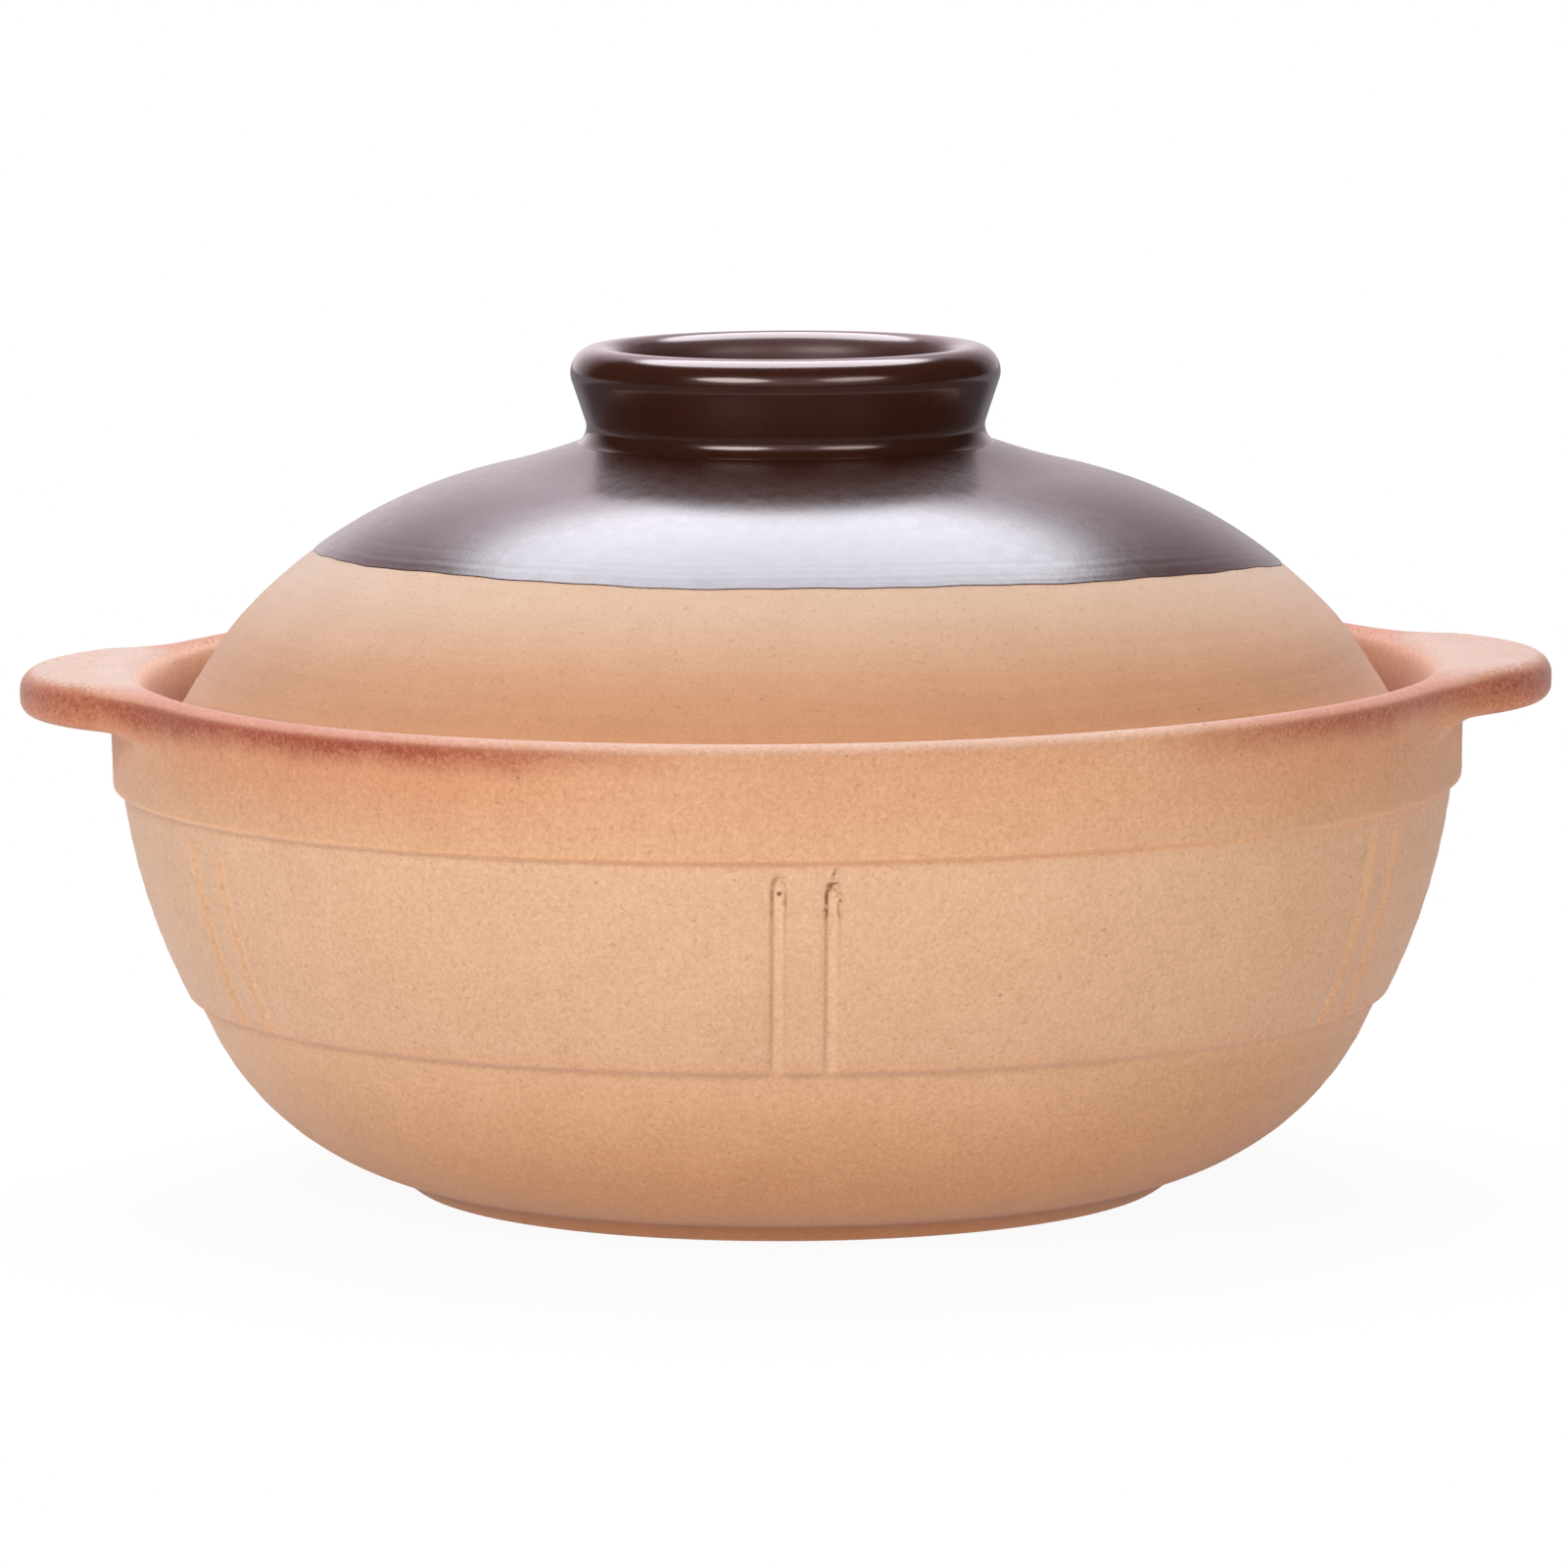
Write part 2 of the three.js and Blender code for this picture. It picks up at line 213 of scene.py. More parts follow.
# %% [markdown]
# The bowl was thrown in one go: a foot ring, a swelling lower wall, a raised band, and a collar with a rolled rim.
# The handles are lugs of the same clay, pulled out of the rim and smoothed in with a thumb.
# They could be pieces of their own, but a seam would show where there is none on the pot.
# So the bowl's outline isn't the same all round: at each angle its rim is pushed out by the reach of the lug there.

# %% Reach of the lug handles
COLLAR_RADIUS = 125.3
RIM_HEIGHT = 97.0
LUG_REACH = 16.7  # of a handle's end from the collar
LUG_RADIUS = 46.0  # of its rounded end, seen from above
LUG_HOLLOW = 80.0  # radius of the hollow curves that lead into it from both sides
LUG_UNDERSIDE = 89.3

lug_centre = COLLAR_RADIUS + LUG_REACH - LUG_RADIUS
hollow_far = COLLAR_RADIUS + LUG_HOLLOW
hollow_x = (hollow_far**2 + lug_centre**2 - (LUG_RADIUS + LUG_HOLLOW) ** 2) / (2 * lug_centre)
hollow_y = math.sqrt(hollow_far**2 - hollow_x**2)
hollow_angle = math.atan2(hollow_y, hollow_x)
lug_turn = math.atan2(hollow_y, hollow_x - lug_centre)
lug_end = math.atan2(LUG_RADIUS * math.sin(lug_turn), lug_centre + LUG_RADIUS * math.cos(lug_turn))


def lug_reach(angles):
    """How far the rim stands out over the collar's circle at each angle.

    A ray from the axis meets the lug's own circle near the handle's middle, then the hollow curve beside it.
    A ray at an angle to the line to a circle's centre, at distance d, meets it at d cos +- sqrt(R^2 - (d sin)^2).
    """
    off = np.arctan2(np.abs(np.sin(angles)), np.abs(np.cos(angles)))
    lug_span = np.sqrt(np.maximum(LUG_RADIUS**2 - (lug_centre * np.sin(off)) ** 2, 0))
    lug = lug_centre * np.cos(off) + lug_span
    beside = off - hollow_angle
    hollow_span = np.sqrt(np.maximum(LUG_HOLLOW**2 - (hollow_far * np.sin(beside)) ** 2, 0))
    hollow = hollow_far * np.cos(beside) - hollow_span
    reach = np.where(off < lug_end, lug, hollow) - COLLAR_RADIUS
    return np.where(off < hollow_angle, np.maximum(reach, 0), 0)


print("handle spans", round(2 * math.degrees(hollow_angle), 1), "degrees of the rim")

# %% [markdown]
# Pairs of upright grooves are cut into the band. Each is only a few millimetres wide on a bowl that is 800 mm round.
# Even columns would need thousands to show them, so the columns crowd together at each groove and spread between.

# %% Columns round the bowl
GROOVE_PAIRS = 6
GROOVE_SIDE = 4.75  # from the middle of a pair to each groove
GROOVE_REGION = 2.0  # on both sides of a groove, where the columns crowd
BAND_MIDDLE = 117.4  # the radius at which these widths are laid off
MIDDLE_STEPS, GROOVE_STEPS, FAR_STEPS = 4, 17, 21  # points up to a groove, across it, and on to the sector's end


def bowl_angles():
    """Angles round the bowl: the same spread in each of the six sectors, mirrored about its pair of grooves."""
    inner, outer = GROOVE_SIDE - GROOVE_REGION, GROOVE_SIDE + GROOVE_REGION
    sector_half = math.pi / GROOVE_PAIRS
    half = np.concatenate([
        np.linspace(0, inner, MIDDLE_STEPS)[1:-1],
        np.linspace(inner, outer, GROOVE_STEPS)[:-1],
        np.linspace(outer, sector_half * BAND_MIDDLE, FAR_STEPS)[:-1],
    ])
    half = half / BAND_MIDDLE
    sector = np.concatenate([[-sector_half], -half[::-1], [0], half])
    middles = -math.pi / 2 + np.arange(GROOVE_PAIRS) * 2 * sector_half
    return (middles[:, None] + sector).ravel()


bowl_turn = bowl_angles()
print("columns round the bowl:", len(bowl_turn))

# %% [markdown]
# The outline starts on the axis under the base, runs up the outside, over the rim and down the inside.
# Its corners are close to those of the CAD model, and each gets the rounding that a wet sponge leaves on clay.
# The swelling walls are corners too, with very large roundings. These parts are the same all round.

# %% Outline of the walls
FOOT_MIDDLE = (65.0, 0.0)  # where the foot ring stands
COLLAR_FOOT = (124.77, 76.1)
LIP_ROUND = 2.8
LUG_START = 82.0  # the height at which the plain collar ends, below the lugs
LEDGE_RADIUS = 112.4
LEDGE_UNDER = 78.0  # the height at which the inside wall starts, under the ledge

collar_lean = (COLLAR_RADIUS - COLLAR_FOOT[0]) / (RIM_HEIGHT - LIP_ROUND - COLLAR_FOOT[1])


def collar_radius(z):
    """Radius of the collar's face at a height: a straight line that leans out a little."""
    return COLLAR_FOOT[0] + collar_lean * (z - COLLAR_FOOT[1])


underside = rounded_path([(0, 2), (57.5, 2), (59.5, 0), FOOT_MIDDLE], [1.5, 1.0], count=9)
outside = rounded_path(
    [FOOT_MIDDLE, (69.3, 0), (74.2, 3.55), (98.1, 11.3), (109.6, 36.3), (111.4, 37.1), (120.05, 55.34),
     (123.0, 75.4), COLLAR_FOOT, (collar_radius(LUG_START), LUG_START)],
    [4.0, 1.0, 52, 0.7, 0.6, 115, 0.45, 0.7], count=108, crowd=2.5,
)
inside = rounded_path(
    [(LEDGE_RADIUS, LEDGE_UNDER), (110.4, 57.9), (102.9, 38.1), (88.6, 15.8), (63, 9), (0, 9)],
    [120, 20, 50, 15], count=18,
)
print("rows under, outside and inside:", len(underside), len(outside), len(inside))

# %% [markdown]
# The rim needs an outline of its own at every angle, because the lugs push it out.
# A lug is a little higher than the rim, with a softer upper edge, and its underside is flat.
# Inside the rim, a step leads down to the ledge that carries the lid.

# %% Rim, lugs and ledge
RIM_ROUND = 2.72
LUG_EDGE = 2.8  # rounding of a lug's lower edge
LUG_ROOT = 2.5  # rounding where its underside meets the collar
LUG_RISE = 0.9  # how far its top is over the rim's
LUG_SOFTER = 1.3  # more rounding on its upper edge than on the rim
LUG_CREST = 2.5  # how far its crest lies outside the rim's
LUG_FALL = 2.4  # more rounding on its way down to the ledge
LUG_FULL = 10.0  # the reach at which the rim is all lug
ROOT_DROP, ROOT_FADE = 4.0, 6.0  # where a lug runs out, its root slides down the collar
GALLERY_TOP, GALLERY_FOOT = 119.7, 118.4  # radius of the step inside the rim
LEDGE_HEIGHT = 82.0
LEDGE_CORNER, LEDGE_EDGE = 1.6, 1.4  # roundings of the ledge

reach = lug_reach(bowl_turn)
whole = np.ones_like(reach)


def corner_round(r, z):
    """One corner of the outline for every column, from numbers or from arrays of the columns."""
    return np.stack([r * whole, z * whole], axis=-1)


def all_round(path):
    """One outline, repeated for every column."""
    return np.broadcast_to(path, (len(bowl_turn),) + path.shape)


on_lug = ease(0, LUG_FULL, reach)
root = LUG_UNDERSIDE - ROOT_DROP * (1 - ease(0, ROOT_FADE, reach))
top = RIM_HEIGHT + LUG_RISE * on_lug
crest = COLLAR_RADIUS - LIP_ROUND + LUG_CREST * on_lug
lug_corners = np.stack([
    corner_round(collar_radius(LUG_START), LUG_START),
    corner_round(collar_radius(root), root),
    corner_round(collar_radius(LUG_UNDERSIDE) + reach, LUG_UNDERSIDE),
    corner_round(COLLAR_RADIUS + reach, top),
    corner_round(crest, top),
], axis=1)
lug_rounds = np.stack([LUG_ROOT * whole, LUG_EDGE * whole, RIM_ROUND + LUG_SOFTER * on_lug], axis=1)
rim = rounded_path(lug_corners, lug_rounds, count=44)

gallery_corners = np.stack([
    corner_round(crest, top),
    corner_round(GALLERY_TOP, top),
    corner_round(GALLERY_FOOT, LEDGE_HEIGHT),
    corner_round(LEDGE_RADIUS, LEDGE_HEIGHT),
    corner_round(LEDGE_RADIUS, LEDGE_UNDER),
], axis=1)
gallery_rounds = np.stack([LIP_ROUND + LUG_FALL * on_lug, LEDGE_CORNER * whole, LEDGE_EDGE * whole], axis=1)
gallery = rounded_path(gallery_corners, gallery_rounds, count=30)

bowl_outline = joined(all_round(underside), all_round(outside), rim, gallery, all_round(inside))
print("rows of the bowl:", bowl_outline.shape[1])

# %% [markdown]
# A groove is what a rounded tool leaves when it is drawn down the band: an even hollow with a round upper end.
# It could be cut with a Boolean, but here it is only a depth that is taken off the radius.
# The depth depends on the distance to the tool's path alone, so the upper end comes out round by itself.

# %% Grooves
GROOVE_HALF = 1.5
GROOVE_SHIFT = 0.25  # of every pair to the left, seen from outside
GROOVE_DEPTH = 1.05
GROOVE_TOPS = (73.1, 71.9)  # of the left and right groove of a pair
GROOVE_FOOT = (36.2, 37.0)  # the heights over which a groove runs out at the band's lower edge
LEFT_FLOOR, RIGHT_FLOOR = 0.38, 0.42  # where the floor ends to each side, as a share of the half width
GROOVE_LIP = 1.12  # where the walls end, as a share of it


def groove_depth(angles, r, z):
    """1 in the bottom of a groove, 0 off it, by the distance to an upright line that ends under the collar.

    The second result is 1 on the left half of each groove and 0 on its right half.
    """
    pair = 2 * math.pi / GROOVE_PAIRS
    from_pair = (angles + math.pi / 2 + pair / 2) % pair - pair / 2
    along = r * np.sin(from_pair[:, None]) + GROOVE_SHIFT
    on_right = along > 0
    beside = along - np.where(on_right, GROOVE_SIDE, -GROOVE_SIDE)
    above = np.maximum(z - np.where(on_right, GROOVE_TOPS[1], GROOVE_TOPS[0]) + GROOVE_HALF, 0)
    off_line = np.hypot(beside, above) / GROOVE_HALF
    on_left = beside < 0
    wall_start = np.where(on_left, LEFT_FLOOR, RIGHT_FLOOR)
    return (1 - ease(wall_start, GROOVE_LIP, off_line)) * ease(*GROOVE_FOOT, z), on_left


print("grooves:", 2 * GROOVE_PAIRS, "of", 2 * GROOVE_HALF, "mm")

# %% [markdown]
# The clay isn't a perfect turned shape. It keeps soft rings from the thrower's fingers.
# The rim isn't quite level, either: it rises a little to the right, and dips in the middle of the front.
# The ledge inside it is true, because it carries the lid.

# %% Throwing rings and the rim's waver
RIM_TILT = 0.0043  # rise for each mm to the right
RIM_DIP = 0.62
RIM_CLIMB = 0.45  # how much of the dip is made up on the way to the right
CLIMB_END = 55  # degrees from the front
FRONT_END = (40, 75)  # degrees from the front over which the dip fades out


def throwing_rings(angles, z):
    """Soft rings: two slow waves round the pot, and two fine waves up the wall that wander as they go round."""
    spin = angles[:, None]
    slow = 0.10 * np.sin(2 * spin + 0.5) + 0.06 * np.sin(3 * spin + 2.0)
    fine = 0.035 * np.sin(z * 1.15 + 0.8 * np.sin(spin)) + 0.025 * np.sin(z * 2.05 - 1.1 * np.sin(spin + 1))
    return slow + fine


def rim_waver(angles):
    """How the front of the rim dips in the middle and climbs to the right, and is level at the lugs and behind."""
    front = np.degrees((angles + 1.5 * math.pi) % (2 * math.pi) - math.pi)
    return (RIM_CLIMB * ease(0, CLIMB_END, front) - RIM_DIP) * (1 - ease(*FRONT_END, np.abs(front)))


waver = rim_waver(bowl_turn)
print("the rim wavers from", round(float(waver.min()), 2), "to", round(float(waver.max()), 2), "mm")

# %% [markdown]
# Now the outline is carried round. Rings and grooves change its radius, and the rim's tilt and waver change its height.
# The points also carry numbers that the finish reads later by name: the depth of a groove, its left half,
# the height before the tilt, and the share of a lug.

# %% Bowl of clay
RINGS_IN, RINGS_OUT = (4, 14), (78, 86)  # heights over which the rings fade in and out
TILT_OUTSIDE, TILT_INSIDE = (40, 80), (82, 95)  # heights over which the tilt fades in
WAVER_OUTSIDE, WAVER_INSIDE = (78, 95), (84, 95)  # heights over which the waver fades in

bowl_r, bowl_z = bowl_outline[..., 0].copy(), bowl_outline[..., 1]
rows = np.arange(bowl_outline.shape[1])
wall_end = len(underside) + len(outside) - 2
wall_rows = (rows >= len(underside)) & (rows < wall_end)
outer_rows = rows < wall_end + rim.shape[1]
cut, left_wall = groove_depth(bowl_turn, bowl_r, bowl_z)
cut = cut * wall_rows
wall = ease(*RINGS_IN, bowl_z) * (1 - ease(*RINGS_OUT, bowl_z)) * wall_rows
bowl_r += wall * throwing_rings(bowl_turn, bowl_z) - GROOVE_DEPTH * cut
bowl_grid = turned(np.stack([bowl_r, bowl_z], axis=-1), bowl_turn)
tilt_share = np.where(outer_rows, ease(*TILT_OUTSIDE, bowl_z), ease(*TILT_INSIDE, bowl_z))
waver_share = np.where(outer_rows, ease(*WAVER_OUTSIDE, bowl_z), ease(*WAVER_INSIDE, bowl_z))
bowl_grid[..., 2] += RIM_TILT * bowl_grid[..., 0] * tilt_share + waver[:, None] * waver_share
clay_bowl, bowl_used = grid_piece("clay_bowl", bowl_grid)


def mark(piece, name, values, used):
    """A number for each point of a piece, which its finish can read by this name."""
    marks = piece.data.attributes.new(name, "FLOAT", "POINT")
    marks.data.foreach_set("value", values.ravel()[used].astype(np.float32))


mark(clay_bowl, "groove", cut, bowl_used)
mark(clay_bowl, "left_wall", left_wall, bowl_used)
mark(clay_bowl, "level", bowl_z, bowl_used)
mark(clay_bowl, "lug", np.broadcast_to(on_lug[:, None], cut.shape), bowl_used)
print("deepest groove:", round(float(GROOVE_DEPTH * cut.max()), 2), "mm")

# %% [markdown]
# The inside of the pot is glazed so that it holds liquid. The coat runs from under the ledge to the floor.
# It is a thin shell: the outline goes up its back, which lies on the clay, and comes down its front.

# %% Glaze inside the bowl
GLAZE_COLUMNS = 180

inner_back = rounded_path(
    [(0, 9.1), (63, 9.1), (88.5, 15.9), (102.8, 38.2), (110.3, 58), (112.3, 78.2)],
    [15, 50, 20, 120], count=20,
)
inner_front = rounded_path(
    [(112.3, 78.2), (112.0, 78.9), (111.6, 78.2), (109.7, 58.1), (102.2, 38.4), (88.1, 16.5), (63, 9.7), (0, 9.7)],
    [0.25, 0.25, 110, 20, 50, 15], count=90,
)
inside_glaze, _ = grid_piece("inside_glaze", turned(joined(inner_back, inner_front), even_angles(GLAZE_COLUMNS)))

# %% [markdown]
# The lid is a dome that sits on the ledge inside the rim. It is one arc from its edge to a flat crown.
# Over the edge it is drawn in a little, and it has throwing rings as the bowl has. The edge itself stays true.
# Its outside is the part that shows, so most rows go there.

# %% Dome of the lid
DOME_RADIUS = 89.5
DOME_CENTRE = (35.0, 45.7)  # of the arc: distance from the axis, and height
CROWN_HEIGHT = 135.2
DOME_CORNER = 91.46  # where the lid's edge, led on straight, would meet the crown
INNER_RADIUS = 77.5
INNER_CROWN = 129.2
LID_FOOT = 82.3
LID_SEAT = (112.0, LID_FOOT)  # where the lid stands on the ledge
LID_COLUMNS = 360
EDGE_ROWS = 8
RING_PITCH = 1.3  # the lid's rings are this much closer than the bowl's
LID_RINGS_IN, LID_RINGS_OUT = (85, 92), (106, 112)  # heights over which its rings fade in and out
LID_DRAW = 0.8
DRAW_IN, DRAW_OUT = (84, 90), (95, 106)  # heights over which the draw fades in and out

lid_inside = rounded_path(
    [(0, INNER_CROWN), (87.0, INNER_CROWN), (109.9, LID_FOOT), LID_SEAT], [INNER_RADIUS, 1.5], count=40
)
lid_outside = rounded_path(
    [LID_SEAT, (116.85, LID_FOOT), (DOME_CORNER, CROWN_HEIGHT), (0, CROWN_HEIGHT)], [1.4, DOME_RADIUS], count=110
)
lid_outline = joined(lid_inside, lid_outside)
lid_turn = even_angles(LID_COLUMNS)
lid_z = np.broadcast_to(lid_outline[:, 1], (LID_COLUMNS, len(lid_outline)))
lid_face = np.arange(len(lid_outline)) > len(lid_inside) + EDGE_ROWS
ring_share = ease(*LID_RINGS_IN, lid_z) * (1 - ease(*LID_RINGS_OUT, lid_z)) * lid_face
draw_share = ease(*DRAW_IN, lid_z) * (1 - ease(*DRAW_OUT, lid_z)) * lid_face
lid_r = lid_outline[:, 0] + throwing_rings(lid_turn, RING_PITCH * lid_z) * ring_share - LID_DRAW * draw_share
clay_lid, _ = grid_piece("clay_lid", turned(np.stack([lid_r, lid_z], axis=-1), lid_turn))

# %% [markdown]
# The ring knob doubles as a foot when the lid is set down upside down. It is hollow, with a rolled lip.
# Under its leaning neck a small hollow curve leads out onto the dome.

# %% Ring knob
KNOB_COLUMNS = 256
KNOB_SKIRT = (46.0, 135.5)  # where its foot thins out on the dome

knob_under = rounded_path([(0, 135.25), (38, 135.25), KNOB_SKIRT], [10], count=10)
knob_outside = rounded_path(
    [KNOB_SKIRT, (35.9, 138.9), (39.75, 150.4), (39.75, 156), (30.2, 156), (29.2, 146), (28.1, 140.8), (0, 140.8)],
    [3.6, 4.0, 4.9, 4.6, 8, 3.0], count=140,
)
ring_knob, _ = grid_piece("ring_knob", turned(joined(knob_under, knob_outside), even_angles(KNOB_COLUMNS)))

# %% [markdown]
# The lid was held upside down by its edge and dipped, so the glaze ends in a nearly level line that leans a little.
# The line wavers where the glaze ran, and the last drops make soft ridges over it.

# %% Dip line
DIP_HEIGHT = 117.0
DIP_LEAN_X = math.tan(math.radians(-0.75))
DIP_LEAN_Y = math.tan(math.radians(-1.8))
COAT = 0.26  # thickness of the glaze
COAT_EDGE = 0.22
EDGE_TAPER = 2.5
RIDGE = 0.012
RIDGES_IN, RIDGES_OUT = (0.6, 2.0), (5, 11)  # distances from the edge over which the ridges fade in and out
ENOUGH_STEPS = 12


def dip_line(angles):
    """Radius and height where the dome meets the dip's leaning plane, found by stepping between the two.

    The plane's height wavers by a few waves round the dome, and by one low run of glaze at the right.
    """
    front = (angles + 1.5 * math.pi) % (2 * math.pi) - math.pi
    waves = -0.34 * np.cos(3 * (front + 0.26)) + 0.12 * np.sin(7 * front + 0.4) + 0.08 * np.sin(15 * front + 2)
    waves = waves + 0.05 * np.sin(41 * front)
    run = 0.45 * np.exp(-(((front - 1.52) / 0.16) ** 2))
    z = np.full_like(angles, DIP_HEIGHT)
    for _ in range(ENOUGH_STEPS):
        r = DOME_CENTRE[0] + np.sqrt(DOME_RADIUS**2 - (z - DOME_CENTRE[1]) ** 2)
        z = DIP_HEIGHT + DIP_LEAN_X * r * np.cos(angles) + DIP_LEAN_Y * r * np.sin(angles) + waves - run
    return r, z


def coat_thickness(to_edge, angles):
    """Thickness of the coat by the distance to its edge: thin at the edge, with ridges where it ran.

    The ridges are two waves along that distance, which wander round the dome.
    """
    spin = angles[:, None]
    body = COAT_EDGE + (COAT - COAT_EDGE) * ease(0, EDGE_TAPER, to_edge)
    ridges = np.sin(to_edge * 1.9 + 1.4 * np.sin(3 * spin)) * np.sin(2 * spin + 0.3) ** 2
    ridges = ridges + 0.6 * np.sin(to_edge * 3.3 + 2 * np.sin(2 * spin + 1))
    return body + RIDGE * ridges * ease(*RIDGES_IN, to_edge) * (1 - ease(*RIDGES_OUT, to_edge))


COAT_COLUMNS = 420
coat_turn = even_angles(COAT_COLUMNS)
edge_r, edge_z = dip_line(coat_turn)
print("the dip line lies between", round(float(edge_z.min()), 1), "and", round(float(edge_z.max()), 1), "mm")

# %% [markdown]
# The coat is a skin on the dome. Each column of the grid follows the dome's arc down to the line at its own angle.
# So a point is given by its angle of lift on the arc and by its distance off the clay.
# Near the knob the coat swells into a low skirt, because the joint there was filled with slip before the dip.

# %% Dipped glaze
GLAZE_START = 38.0  # radius at which it comes out from under the knob
SKIRT_END = 55.0
SKIRT_WIDTH = 16.5
SKIRT_HEIGHT = 2.7
COAT_BACK = 0.04  # gap between the clay and the back of the coat
FRONT_ROWS, BEAD_ROWS, BACK_ROWS = 96, 7, 12
CROWDING = 1.35  # rows crowd towards the edge

edge_lift = np.arctan2(edge_z - DOME_CENTRE[1], edge_r - DOME_CENTRE[0])[:, None]
start_lift = math.acos((GLAZE_START - DOME_CENTRE[0]) / DOME_RADIUS)
to_start = start_lift - edge_lift
front_lift = edge_lift + to_start * (1 - np.linspace(0, 1, FRONT_ROWS)) ** CROWDING
front_off = coat_thickness((front_lift - edge_lift) * DOME_RADIUS, coat_turn)
from_skirt = np.maximum(SKIRT_END - DOME_CENTRE[0] - DOME_RADIUS * np.cos(front_lift), 0)
front_off += SKIRT_HEIGHT * (from_skirt / SKIRT_WIDTH) ** 2
bead = np.linspace(0, math.pi, BEAD_ROWS)[1:]
bead_lift = edge_lift - np.sin(bead) * COAT_EDGE / 2 / DOME_RADIUS
bead_off = (COAT_EDGE + COAT_BACK) / 2 + np.cos(bead) * (COAT_EDGE - COAT_BACK) / 2
bead_off = np.broadcast_to(bead_off, bead_lift.shape)
back_lift = edge_lift + to_start * np.linspace(0, 1, BACK_ROWS)[1:]
lift = np.concatenate([front_lift, bead_lift, back_lift], axis=1)
off = np.concatenate([front_off, bead_off, np.full_like(back_lift, COAT_BACK)], axis=1)
coat_r = DOME_CENTRE[0] + (DOME_RADIUS + off) * np.cos(lift)
coat_z = DOME_CENTRE[1] + (DOME_RADIUS + off) * np.sin(lift)
coat_grid = turned(np.stack([coat_r, coat_z], axis=-1), coat_turn)[:, ::-1]
dipped_glaze, _ = grid_piece("dipped_glaze", coat_grid, loop=True)

# %% [markdown]
# A finish is a network of shader nodes. Written node by node it is hard to read, so sums are written as sums.
# A small class wraps one socket, and its operators add Math nodes.

# %% Shader sums
class Wire:
    """One output of a shader node. Sums and products of wires add Math nodes to the network."""

    def __init__(self, finish, socket):
        self.finish, self.socket = finish, socket

    def math(self, operation, first, second):
        """A Math node on two values."""
        return self.finish.node("ShaderNodeMath", {"operation": operation}, {0: first, 1: second})

    def __add__(self, other):
        return self.math("ADD", self, other)

    def __sub__(self, other):
        return self.math("SUBTRACT", self, other)

    def __rsub__(self, other):
        return self.math("SUBTRACT", other, self)

    def __mul__(self, other):
        return self.math("MULTIPLY", self, other)

    def __pow__(self, other):
        return self.math("POWER", self, other)

    __radd__ = __add__
    __rmul__ = __mul__


def paint(red, green, blue):
    """A colour in linear light, as a shader socket takes it."""
    return (red, green, blue, 1.0)


print("a plain tan:", paint(0.7, 0.4, 0.24))

# %% [markdown]
# A second class holds the network of one finish. Its methods add the few kinds of node that this pot needs.
# Patterns read the place on the piece itself, so they move with it and look the same from all sides.

